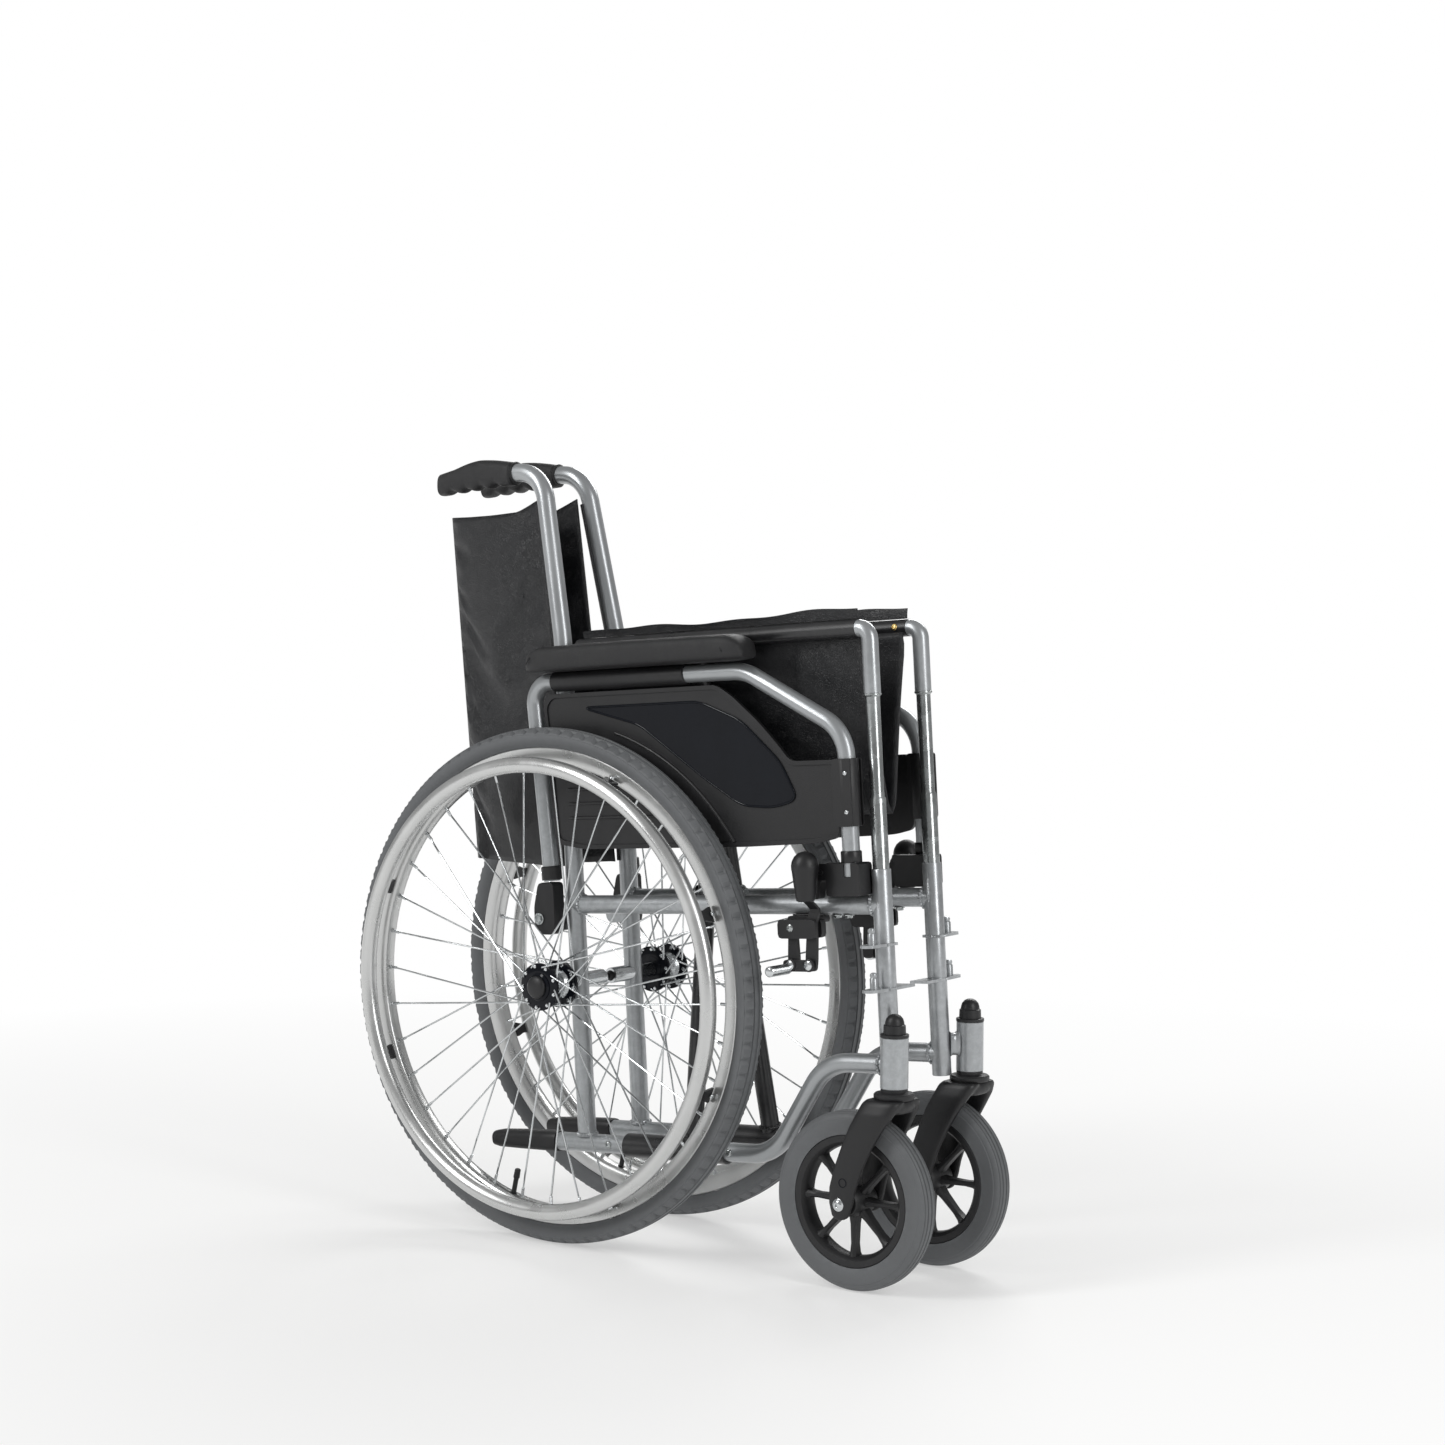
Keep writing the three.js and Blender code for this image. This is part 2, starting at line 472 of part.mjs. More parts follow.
// ---- Brakes -------------------------------------------------------------------------------------
function brake() {
  const y = -BRAKE_Y;
  const [leverS, leverN] = BRAKE_LEVER_PIVOT;
  const [linkS, linkN] = BRAKE_LINK_PIVOT;
  const low = (pivot) => [pivot[0] + BRAKE_ARM[0], pivot[1] + BRAKE_ARM[1]];

  const clamp = box(346, 388, Y + 6, y + 6, 376, UPPER_RAIL_N - TUBE_R - GAP, 3);
  const inner = box(342, 394, y + 12, y + 3.2, 360, 381, 5);
  const outer = box(342, 394, y - 4.2, y - 9, 360, 381, 5);
  const spacer = box(342, 347.5, y - 5, y + 4, 366, 378);
  const pins = [BRAKE_LEVER_PIVOT, BRAKE_LINK_PIVOT].map(([s, n]) => rod(vec(s, y + 5, n), vec(s, y - 6, n), 2.5, 8));
  addPair('brake_housing', pitched(join(clamp, inner, outer, spacer, ...pins)), blackPlastic);

  // A flat bar from upper pivot to shoe bar, drilled for both pins.
  const bar = (pivot) => {
    const [s0, n0] = pivot;
    const [s1, n1] = low(pivot);
    return plate([[s0 - 7, n0 + 8], [s0 + 7, n0 + 8], [s0 + 7, n0 - 8], [s1 + 7, n1 + 4], [s1 + 6, n1 - 6],
      [s1 - 6, n1 - 6], [s1 - 7, n1 + 4], [s0 - 7, n0 - 8]], y + 2, y - 3, 3);
  };
  const drill = ([s, n]) => rod(vec(s, y + 8, n), vec(s, y - 9, n), 3.1, 8);
  const knobFoot = vec(leverS + 12, -KNOB_Y, 404);
  const leverBar = plate([[leverS - 6, leverN], [leverS + 6, leverN], [leverS + 12, 392], [leverS, 392]],
    y + 2, y - 3);
  const neck = rod(vec(leverS + 6, y - 0.5, 388), knobFoot, 4.5, 8);
  const knobProfile = [[0, 0], [10.5, 0], [12, 8], [15.6, 36], [15.2, 44], [11.4, 51], [5, 55], [0, 56]];
  const knob = new THREE.LatheGeometry(knobProfile.map(([r, h]) => new THREE.Vector2(r, h)), 12)
    .rotateX(Math.PI / 2).rotateY(0.09).translate(knobFoot.x, knobFoot.y, knobFoot.z - 2);
  addPair('brake_lever', pitched(join(cut(join(bar(BRAKE_LEVER_PIVOT), leverBar), drill(BRAKE_LEVER_PIVOT),
    drill(low(BRAKE_LEVER_PIVOT))), neck, knob)), blackPlastic);
  addPair('brake_link', pitched(cut(bar(BRAKE_LINK_PIVOT), drill(BRAKE_LINK_PIVOT),
    drill(low(BRAKE_LINK_PIVOT)))), blackPlastic);

  // Shoe bar across both lower pivots, carrying the peg that presses the tyre.
  const [s0, n0] = low(BRAKE_LINK_PIVOT);
  const [s1, n1] = low(BRAKE_LEVER_PIVOT);
  const shoeBar = plate([[s0 - 10, n0 - 7], [s1 + 6, n1 - 7], [s1 + 6, n1 + 6], [s0 - 10, n0 + 6]], y - 3.3, y - 7, 3);
  const shoePins = [[s0, n0], [s1, n1]].map(([s, n]) => rod(vec(s, y - 4, n), vec(s, y + 3, n), 2.5, 8));
  const peg = rod(vec(s0 - 4, y - 5, n0 - 4), vec(s0 - 4, y - 43, n0 - 4), 6, 12);
  addPair('brake_shoe', pitched(join(shoeBar, ...shoePins, peg)), zinc);
}

// ---- Upholstery, hanging folded between the side frames -----------------------------------------
function slings() {
  // Each seat half hangs from its rail to the fold at the middle of the chair.
  const seatHalf = leaf([at(52, -36, 696), at(448, -36, 696), at(448, -2, 502), at(52, -2, 502)], 1.5);
  addPair('seat_sling', seatHalf, vinyl);
  // Each back half runs rearwards from its cane to the fold.
  const backHalf = leaf([vec(-22, Y + 8, 440), vec(-74, -HANDLE_Y + 6, 880), vec(-250, -2, 862),
    vec(-206, -2, 436)], 1.5);
  addPair('back_sling', backHalf, vinyl);
}

// A flat sheet through four corners, this thick to each side.
function leaf(corners, half) {
  const normal = corners[1].clone().sub(corners[0]).cross(corners[3].clone().sub(corners[0])).setLength(half);
  const shell = [...corners.map((c) => c.clone().sub(normal)), ...corners.map((c) => c.clone().add(normal))];
  const faces = [[3, 2, 1], [3, 1, 0], [4, 5, 6], [4, 6, 7]];
  for (let i = 0; i < 4; i += 1) {
    const next = (i + 1) % 4;
    faces.push([i, next, next + 4], [i, next + 4, i + 4]);
  }
  const geometry = new THREE.BufferGeometry().setFromPoints(shell);
  geometry.setIndex(faces.flat());
  geometry.computeVertexNormals();
  return geometry;
}

sideFrame();
frontPost();
rearWheel();
caster();
foldingCross();
armrest();
brake();
slings();

export default chair;
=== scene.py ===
"""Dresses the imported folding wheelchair: finished pieces, materials, stage and camera, laid out as an add-on."""

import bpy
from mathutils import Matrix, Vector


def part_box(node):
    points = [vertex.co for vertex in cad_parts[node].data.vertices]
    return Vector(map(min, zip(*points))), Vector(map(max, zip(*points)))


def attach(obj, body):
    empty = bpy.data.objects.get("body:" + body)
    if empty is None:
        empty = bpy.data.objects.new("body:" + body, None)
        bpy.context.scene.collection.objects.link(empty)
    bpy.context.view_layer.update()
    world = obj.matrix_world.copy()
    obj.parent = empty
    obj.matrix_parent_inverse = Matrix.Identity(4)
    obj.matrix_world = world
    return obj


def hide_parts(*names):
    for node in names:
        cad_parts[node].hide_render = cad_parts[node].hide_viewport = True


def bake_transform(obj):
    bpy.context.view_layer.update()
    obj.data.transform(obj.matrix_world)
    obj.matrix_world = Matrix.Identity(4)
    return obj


bl_info = {
    "name": "Folding wheelchair",
    "version": (1, 0, 0),
    "blender": (4, 5, 0),
    "location": "3D View > Sidebar > Wheelchair",
    "description": "Builds the finished pieces of a folded wheelchair around its packed frame",
    "category": "Add Mesh",
}

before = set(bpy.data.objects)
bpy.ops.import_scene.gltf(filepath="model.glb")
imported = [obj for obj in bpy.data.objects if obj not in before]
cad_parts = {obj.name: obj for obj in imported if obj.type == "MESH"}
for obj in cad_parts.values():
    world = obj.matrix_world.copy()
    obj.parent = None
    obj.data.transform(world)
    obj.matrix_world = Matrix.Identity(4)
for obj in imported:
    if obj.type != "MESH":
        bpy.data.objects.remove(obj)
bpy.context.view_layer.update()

import math

import bmesh
import bpy
import numpy as np
from bpy.props import FloatProperty, FloatVectorProperty, IntProperty
from bpy.types import Operator, Panel, PropertyGroup
from mathutils import Matrix, Vector

# ---- Places, worked out from the frame ------------------------------------------------------------
MM = 0.001
PITCH = math.radians(3.9)                                   # the rails rise towards the front
WHEEL = (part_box("right_tyre")[0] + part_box("right_tyre")[1]) / 2
WHEEL_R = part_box("right_tyre")[1].z / 2
CASTER = (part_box("right_caster_tyre")[0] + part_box("right_caster_tyre")[1]) / 2
STEM_X = 362.6 * MM
HEAD_Z = (229 * MM, 286 * MM)
SIDE_Y = -51                                                # middle plane of the right side frame, mm
ARM_Y = -74                                                 # middle plane of the arms and brakes, mm
HANDLE_Y, HANDLE_Z = -40, 914
BACK_S, FRONT_S = 21.5, 464.5
LOWER_N, LOWER_FRONT_N, UPPER_N, SEAT_N = 110, 219, 395.5, 702
SEAT_SPAN = (48, 450)
BRACE_S = (181, 221)                                        # the right and left braces along the rails
AXLE_Z = 305                                                # rear axle above the floor, mm
HUB_S, HUB_N = 20.7, 304.3                                  # the same place in rail coordinates
SIDES = ("right", "left")
UP, OUT = Vector((0, 0, 1)), Vector((0, -1, 0))              # OUT points away from the chair on the right


def at(s, y, n):
    """A point given along the rails, across the chair and square to both, in mm."""
    return Vector((WHEEL.x + (s * math.cos(PITCH) - n * math.sin(PITCH)) * MM, y * MM,
                   (s * math.sin(PITCH) + n * math.cos(PITCH)) * MM))


RAIL = at(1, 0, 0) - at(0, 0, 0)                            # direction of the rails, forward
POST = at(0, 0, 1) - at(0, 0, 0)                            # direction of the posts, upward


def level(x, y, z):
    """A point in mm from the rear axle, with z above the floor."""
    return Vector((WHEEL.x + x * MM, y * MM, z * MM))


# ---- Sizes and colours a user would change --------------------------------------------------------
def colour(name, text, value):
    return FloatVectorProperty(name=name, description=text, subtype="COLOR", size=3, min=0, max=1, default=value)


class WheelchairSizes(PropertyGroup):
    tube_radius: FloatProperty(name="Tube radius", description="Outer radius of the frame tubes",
                               default=11 * MM, unit="LENGTH")
    spokes: IntProperty(name="Spokes", description="Spokes in each rear wheel", default=36, min=12)
    tread_blocks: IntProperty(name="Tread blocks", description="Shoulder blocks round each rear tyre",
                              default=104, min=24)
    vinyl_thickness: FloatProperty(name="Vinyl thickness", description="Thickness of the sling cloth",
                                   default=1.8 * MM, unit="LENGTH")
    lens: FloatProperty(name="Lens", description="Focal length of the camera in millimetres", default=71.44)


class WheelchairColours(PropertyGroup):
    silver: colour("Silver paint", "Frame tubes", (0.36, 0.375, 0.385))
    black_paint: colour("Black paint", "Braces and seat rails", (0.009, 0.009, 0.010))
    plastic: colour("Black plastic", "Moulded parts", (0.008, 0.008, 0.009))
    grip: colour("Soft grip", "Handles and arm pads", (0.009, 0.009, 0.010))
    tyre: colour("Tyre", "Grey rubber", (0.115, 0.12, 0.125))
    vinyl: colour("Vinyl", "Slings", (0.007, 0.0075, 0.009))
    aluminium: colour("Aluminium", "Rims and hand rims", (0.60, 0.605, 0.60))
    zinc: colour("Zinc", "Guide tubes and bolts", (0.42, 0.44, 0.44))


# ---- Shapes ---------------------------------------------------------------------------------------
def rounded(corners, bends, steps=10):
    """A path through corners, each turned by an arc of its own radius in mm."""
    points = [corners[0]]
    for i in range(1, len(corners) - 1):
        into = (corners[i] - corners[i - 1]).normalized()
        out = (corners[i + 1] - corners[i]).normalized()
        angle = into.angle(out)
        radius = bends[i - 1] * MM
        start = corners[i] - into * radius * math.tan(angle / 2)
        side = (out - into * out.dot(into)).normalized()
        points += [start + into * radius * math.sin(t) + side * radius * (1 - math.cos(t))
                   for t in (angle * k / steps for k in range(steps + 1))]
    return points + [corners[-1]]


def signed_power(value, power):
    """A power that keeps the sign, for squared-off rounds."""
    return math.copysign(abs(value) ** power, value)


def outline(points, corner=0, steps=5):
    """A flat outline with its corners rounded, in mm."""
    if not corner:
        return points
    found = []
    flat = [Vector(p) for p in points]
    for i, p in enumerate(flat):
        before, after = flat[i - 1], flat[(i + 1) % len(flat)]
        reach = min(corner, (p - before).length / 2.1, (p - after).length / 2.1)
        start = p + (before - p).normalized() * reach
        end = p + (after - p).normalized() * reach
        found += [tuple(start * (1 - t) ** 2 + p * 2 * t * (1 - t) + end * t * t)
                  for t in (k / steps for k in range(steps + 1))]
    return found


class Shape:
    """A mesh being put together; each stretch of it has a material number."""

    def __init__(self):
        self.verts, self.faces, self.marks = [], [], []

    def add(self, verts, faces, mark=0):
        base = len(self.verts)
        self.verts += [Vector(v) for v in verts]
        self.faces += [[base + i for i in face] for face in faces]
        self.marks += [mark] * len(faces)
        return self

    def skin(self, rings, mark=0, loop=False):
        """Joins rings of points with quads; open ends are capped."""
        k, n = len(rings[0]), len(rings)
        faces = [[i * k + j, i * k + (j + 1) % k, (i + 1) % n * k + (j + 1) % k, (i + 1) % n * k + j]
                 for i in range(n if loop else n - 1) for j in range(k)]
        if not loop:
            faces += [list(range(k))[::-1], [(n - 1) * k + j for j in range(k)]]
        return self.add([v for ring in rings for v in ring], faces, mark)

    def tube(self, path, radius=None, mark=0, sides=28, loop=False):
        """A round tube along a path; the radius may be a list, one for each point."""
        radius = tube_radius() if radius is None else radius
        n = len(path)
        radii = radius if isinstance(radius, (list, tuple)) else [radius] * n
        tangents = []
        for i in range(n):
            a, b = (path[i - 1], path[(i + 1) % n]) if loop else (path[max(i - 1, 0)], path[min(i + 1, n - 1)])
            tangents.append((b - a).normalized())
        normal = tangents[0].orthogonal().normalized()
        rings = []
        for point, along, r in zip(path, tangents, radii):
            normal = (normal - along * normal.dot(along)).normalized()
            across = along.cross(normal)
            rings.append([point + (normal * math.cos(t) + across * math.sin(t)) * r
                          for t in (2 * math.pi * j / sides for j in range(sides))])
        return self.skin(rings, mark, loop)

    def rod(self, start, end, radius, mark=0, sides=24):
        return self.tube([start, end], radius, mark, sides)

    def turn(self, start, towards, profile, mark=0, sides=32, loop=False):
        """Turns a profile of (distance along, radius) in mm about the line from start."""
        along = (towards - start).normalized()
        normal = along.orthogonal().normalized()
        across = along.cross(normal)
        rings = [[start + along * h * MM + (normal * math.cos(t) + across * math.sin(t)) * max(r, 0.01) * MM
                  for t in (2 * math.pi * j / sides for j in range(sides))] for h, r in profile]
        return self.skin(rings, mark, loop)

    def plate(self, points, y0, y1, corner=0, mark=0):
        """A flat plate whose outline is in rail coordinates, from y0 to y1."""
        shape = outline(points, corner)
        return self.skin([[at(s, y, n) for s, n in shape] for y in (y0, y1)], mark)

    def loft(self, sections, mark=0, sides=28, place=at):
        """Sections square to the rails: (s, n, half height, half width, y, squareness)."""
        rings = []
        for s, n, half_n, half_y, y, power in sections:
            ring = []
            for j in range(sides):
                t = 2 * math.pi * j / sides
                ring.append(place(s, y + half_y * signed_power(math.cos(t), 2 / power),
                                  n + half_n * signed_power(math.sin(t), 2 / power)))
            rings.append(ring)
        return self.skin(rings, mark)

    def weld(self, centre, axis, radius, mark=0, bead=2.1, sides=44):
        """A rippled weld bead round a tube end."""
        axis = axis.normalized()
        normal = axis.orthogonal().normalized()
        across = axis.cross(normal)
        path = [centre + (normal * math.cos(t) + across * math.sin(t)) * radius * MM
                for t in (2 * math.pi * j / sides for j in range(sides))]
        radii = [(bead + 0.45 * math.cos(j * math.pi) + 0.3 * math.sin(j * 1.7)) * MM for j in range(sides)]
        return self.tube(path, radii, mark, 8, loop=True)

    def screw(self, centre, out, radius=4.5, mark=0, height=2.6, socket=6):
        """A domed screw head with a recess."""
        profile = [(-0.5, radius), (height * 0.35, radius), (height * 0.75, radius * 0.86), (height, radius * 0.55),
                   (height, radius * 0.42), (height * 0.4, radius * 0.38)]
        self.turn(centre, centre + out, profile, mark, 24)
        return self.turn(centre, centre + out, [(height * 0.35, radius * 0.5), (height * 0.45, radius * 0.36)],
                         mark, socket)

    def bolt(self, centre, out, radius=6, mark=0, height=4.5):
        """A hexagon head on a washer."""
        self.turn(centre, centre + out, [(0, radius * 1.35), (1.2, radius * 1.35)], mark, 28)
        return self.turn(centre, centre + out, [(1.1, radius), (height, radius), (height + 0.7, radius * 0.86)],
                         mark, 6)

    def mirrored(self):
        other = Shape()
        other.verts = [Vector((v.x, -v.y, v.z)) for v in self.verts]
        other.faces = [face[::-1] for face in self.faces]
        other.marks = list(self.marks)
        return other

    def piece(self, name, materials, body, slot, replaces=(), bevel=0, voxel=0, angle=38):
        """The finished object, riding on its body."""
        mesh = bpy.data.meshes.new(name)
        mesh.from_pydata(self.verts, [], self.faces)
        for polygon, mark in zip(mesh.polygons, self.marks):
            polygon.material_index = mark
        for made in materials:
            mesh.materials.append(made)
        obj = bpy.data.objects.new(name, mesh)
        bpy.context.scene.collection.objects.link(obj)
        return dressed(obj, body, replaces, bevel, voxel, angle)


def dressed(obj, body, replaces=(), bevel=0, voxel=0, angle=38):
    """Smooths, bevels and attaches an object."""
    mesh = obj.data
    work = bmesh.new()
    work.from_mesh(mesh)
    bmesh.ops.recalc_face_normals(work, faces=work.faces)
    work.to_mesh(mesh)
    work.free()
    mesh.shade_smooth()
    if voxel:
        remesh = obj.modifiers.new("Moulded", "REMESH")
        remesh.mode = "VOXEL"
        remesh.voxel_size = voxel * MM
        remesh.use_smooth_shade = True
        smooth = obj.modifiers.new("Softened", "SMOOTH")
        smooth.factor = 0.5
        smooth.iterations = 7
    else:
        mesh.set_sharp_from_angle(angle=math.radians(angle))
    if bevel:
        edge = obj.modifiers.new("Rounded edges", "BEVEL")
        edge.width = bevel * MM
        edge.segments = 3
        edge.limit_method = "ANGLE"
        edge.angle_limit = math.radians(angle)
        edge.harden_normals = True
    if body:
        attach(obj, body)
    if replaces:
        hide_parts(*replaces)
    return obj


def pair(name, build, materials, body, slot, replaces=(), **options):
    """The same piece on both sides: build makes the right one, and the left is its mirror image."""
    shape = Shape()
    build(shape)
    return [made.piece(f"{side}_{name}", materials, f"{side}_{body}", slot,
                       [f"{side}_{node}" for node in replaces], **options)
            for side, made in (("right", shape), ("left", shape.mirrored()))]


def from_node(name, node, body, bevel):
    """Copies of a packed moulding, with their flat faces made whole and their edges rounded."""
    for side in SIDES:
        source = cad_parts[f"{side}_{node}"]
        mesh = source.data.copy()
        work = bmesh.new()
        work.from_mesh(mesh)
        bmesh.ops.remove_doubles(work, verts=work.verts, dist=0.02 * MM)
        bmesh.ops.dissolve_limit(work, angle_limit=math.radians(1.5), verts=work.verts, edges=work.edges)
        work.to_mesh(mesh)
        work.free()
        mesh.materials.clear()
        mesh.materials.append(black_plastic())
        obj = bpy.data.objects.new(f"{side}_{name}", mesh)
        bpy.context.scene.collection.objects.link(obj)
        dressed(obj, f"{side}_{body}", [f"{side}_{node}"], bevel, angle=30)


def tube_radius():
    return bpy.context.scene.wheelchair_sizes.tube_radius


# ---- Shader groups --------------------------------------------------------------------------------
class Tree:
    """Short words for building a node tree."""

    def __init__(self, tree):
        self.tree = tree

    def node(self, kind, **settings):
        made = self.tree.nodes.new(kind)
        for key, value in settings.items():
            setattr(made, key, value)
        return made

    def link(self, out, into):
        self.tree.links.new(out, into)

    def maths(self, operation, a, b=None, clamp=False):
        made = self.node("ShaderNodeMath", operation=operation, use_clamp=clamp)
        for socket, value in zip(made.inputs, (a, b)):
            if value is None:
                continue
            if isinstance(value, (int, float)):
                socket.default_value = value
            else:
                self.link(value, socket)
        return made.outputs[0]

    def ranged(self, value, low, high, to_low=0.0, to_high=1.0):
        made = self.node("ShaderNodeMapRange")
        self.link(value, made.inputs["Value"])
        for key, number in (("From Min", low), ("From Max", high), ("To Min", to_low), ("To Max", to_high)):
            made.inputs[key].default_value = number
        return made.outputs["Result"]


def new_group(name, inputs):
    """An effect with named number inputs and two outputs, Height and Mask."""
    if name in bpy.data.node_groups:
        return None, None, None
    tree = bpy.data.node_groups.new(name, "ShaderNodeTree")
    for label, value in inputs:
        tree.interface.new_socket(label, in_out="INPUT", socket_type="NodeSocketFloat").default_value = value
    for label in ("Height", "Mask"):
        tree.interface.new_socket(label, in_out="OUTPUT", socket_type="NodeSocketFloat")
    t = Tree(tree)
    return t, t.node("NodeGroupInput"), t.node("NodeGroupOutput")


def noise(t, scale, detail=3.0, rough=0.55, stretch=None):
    """Noise on the object's own coordinates."""
    place = t.node("ShaderNodeTexCoord").outputs["Object"]
    if stretch:
        mapping = t.node("ShaderNodeMapping")
        mapping.inputs["Scale"].default_value = stretch
        t.link(place, mapping.inputs["Vector"])
        place = mapping.outputs[0]
    made = t.node("ShaderNodeTexNoise")
    t.link(place, made.inputs["Vector"])
    made.inputs["Detail"].default_value = detail
    made.inputs["Roughness"].default_value = rough
    if isinstance(scale, (int, float)):
        made.inputs["Scale"].default_value = scale
    else:
        t.link(scale, made.inputs["Scale"])
    return made.outputs["Fac"]


def cells(t, scale, feature="F1", warp=0.0):
    """Cells on the object's own coordinates, as distance."""
    place = t.node("ShaderNodeTexCoord").outputs["Object"]
    if warp:
        bend = t.node("ShaderNodeTexNoise")
        bend.inputs["Scale"].default_value = 60.0
        t.link(place, bend.inputs["Vector"])
        add = t.node("ShaderNodeMix", data_type="VECTOR")
        add.inputs["Factor"].default_value = warp
        t.link(place, add.inputs["A"])
        t.link(bend.outputs["Color"], add.inputs["B"])
        place = add.outputs["Result"]
    made = t.node("ShaderNodeTexVoronoi", feature=feature)
    t.link(place, made.inputs["Vector"])
    if isinstance(scale, (int, float)):
        made.inputs["Scale"].default_value = scale
    else:
        t.link(scale, made.inputs["Scale"])
    return made


def fine_grain():
    """Moulded or painted grain."""
    t, given, out = new_group("Fine grain", [("Scale", 900.0)])
    if t:
        small = noise(t, given.outputs["Scale"], 4.0, 0.6)
        cell = cells(t, given.outputs["Scale"]).outputs["Distance"]
        t.link(t.maths("ADD", small, t.maths("MULTIPLY", cell, 0.5)), out.inputs["Height"])
        t.link(t.ranged(noise(t, 14.0, 4.0), 0.3, 0.7), out.inputs["Mask"])


def leather_grain():
    """Pressed leather cells with soft creases."""
    t, given, out = new_group("Leather grain", [("Scale", 420.0)])
    if t:
        cell = cells(t, given.outputs["Scale"], "DISTANCE_TO_EDGE", 0.012).outputs["Distance"]
        pits = t.ranged(cell, 0.0, 0.16)
        crease = t.ranged(noise(t, 38.0, 5.0, 0.65), 0.35, 0.7)
        t.link(t.maths("ADD", pits, t.maths("MULTIPLY", crease, 0.55)), out.inputs["Height"])
        t.link(crease, out.inputs["Mask"])


def worn_edges():
    """Edges rubbed brighter, broken up by noise."""
    t, given, out = new_group("Worn edges", [("Amount", 0.5)])
    if t:
        edge = t.ranged(t.node("ShaderNodeNewGeometry").outputs["Pointiness"], 0.515, 0.60)
        broken = t.ranged(noise(t, 130.0, 5.0, 0.7), 0.42, 0.62)
        mask = t.maths("MULTIPLY", t.maths("MULTIPLY", edge, broken), given.outputs["Amount"], True)
        t.link(mask, out.inputs["Mask"])
        t.link(edge, out.inputs["Height"])


def settled_dust():
    """Dust on what faces up."""
    t, given, out = new_group("Settled dust", [("Amount", 0.2)])
    if t:
        split = t.node("ShaderNodeSeparateXYZ")
        t.link(t.node("ShaderNodeNewGeometry").outputs["Normal"], split.inputs[0])
        up = t.ranged(split.outputs["Z"], 0.2, 1.0)
        patch = t.ranged(noise(t, 22.0, 6.0, 0.6), 0.35, 0.75)
        mask = t.maths("MULTIPLY", t.maths("MULTIPLY", up, patch), given.outputs["Amount"], True)
        t.link(mask, out.inputs["Mask"])
        t.link(patch, out.inputs["Height"])


def zinc_spangle():
    """Blotches of a plated surface."""
    t, given, out = new_group("Zinc spangle", [("Scale", 110.0)])
    if t:
        made = cells(t, given.outputs["Scale"], "F1", 0.02)
        value = t.node("ShaderNodeSeparateColor")
        t.link(made.outputs["Color"], value.inputs[0])
        blotch = t.maths("MULTIPLY", value.outputs[0], noise(t, 45.0, 5.0, 0.7))
        t.link(blotch, out.inputs["Mask"])
        t.link(made.outputs["Distance"], out.inputs["Height"])


def brushed_lines():
    """Fine turning lines round the wheel axis."""
    t, given, out = new_group("Brushed lines", [("Scale", 700.0)])
    if t:
        lines = noise(t, given.outputs["Scale"], 2.0, 0.5, (0.25, 1.0, 0.25))
        t.link(lines, out.inputs["Height"])
        t.link(t.ranged(noise(t, 16.0, 4.0), 0.3, 0.7), out.inputs["Mask"])


GROUPS = (fine_grain, leather_grain, worn_edges, settled_dust, zinc_spangle, brushed_lines)


def surface(name, base, rough, metal=0.0, relief="Fine grain", scale=900.0, depth=0.05, vary=0.12,
            worn=0.3, dust=0.03, coat=0.0, coat_rough=0.1, rough_vary=0.1, specular=0.5):
    """A finish: base colour varied by its relief, rubbed edges, settled dust and a bump of real depth in mm."""
    if name in bpy.data.materials:
        return bpy.data.materials[name]
    material = bpy.data.materials.new(name)
    material.use_nodes = True
    t = Tree(material.node_tree)
    shader = material.node_tree.nodes["Principled BSDF"]
    shader.inputs["Metallic"].default_value = metal
    shader.inputs["Coat Weight"].default_value = coat
    shader.inputs["Coat Roughness"].default_value = coat_rough
    shader.inputs["Specular IOR Level"].default_value = specular

    def effect(group, key, value):
        made = t.node("ShaderNodeGroup", node_tree=bpy.data.node_groups[group])
        made.inputs[key].default_value = value
        return made

    def mixed(factor, first, second):
        made = t.node("ShaderNodeMix", data_type="RGBA")
        t.link(factor, made.inputs["Factor"])
        for socket, value in ((made.inputs["A"], first), (made.inputs["B"], second)):
            if isinstance(value, tuple):
                socket.default_value = (*value, 1.0)
            else:
                t.link(value, socket)
        return made.outputs["Result"]

    texture = effect(relief, "Scale", scale)
    dark = tuple(c * (1 - vary) for c in base)
    light = tuple(min(1.0, c * (1 + vary)) for c in base)
    tone = mixed(texture.outputs["Mask"], dark, light)
    rubbed = tuple(min(1.0, c * 1.9 + 0.02) for c in base)
    tone = mixed(effect("Worn edges", "Amount", worn).outputs["Mask"], tone, rubbed)
    tone = mixed(effect("Settled dust", "Amount", dust).outputs["Mask"], tone, (0.42, 0.41, 0.39))
    t.link(tone, shader.inputs["Base Color"])
    t.link(t.ranged(texture.outputs["Mask"], 0, 1, max(0.03, rough - rough_vary), rough + rough_vary),
           shader.inputs["Roughness"])
    bump = t.node("ShaderNodeBump")
    bump.inputs["Strength"].default_value = 1.0
    bump.inputs["Distance"].default_value = depth * MM
    t.link(texture.outputs["Height"], bump.inputs["Height"])
    t.link(bump.outputs["Normal"], shader.inputs["Normal"])
    return material


def swatch(name):
    return tuple(getattr(bpy.context.scene.wheelchair_colours, name))


def silver_paint():
    return surface("Silver paint", swatch("silver"), 0.34, 0.62, scale=1500.0, depth=0.012, vary=0.06,
                   worn=0.25, coat=0.35, coat_rough=0.14, rough_vary=0.05)


def black_paint():
    return surface("Black paint", swatch("black_paint"), 0.33, 0.0, scale=1300.0, depth=0.02, vary=0.15,
                   worn=0.25, coat=0.2, coat_rough=0.25)


def zinc_plate():
    return surface("Zinc plate", swatch("zinc"), 0.30, 0.92, relief="Zinc spangle", scale=55.0, depth=0.004,
                   vary=0.2, worn=0.3, dust=0.05)


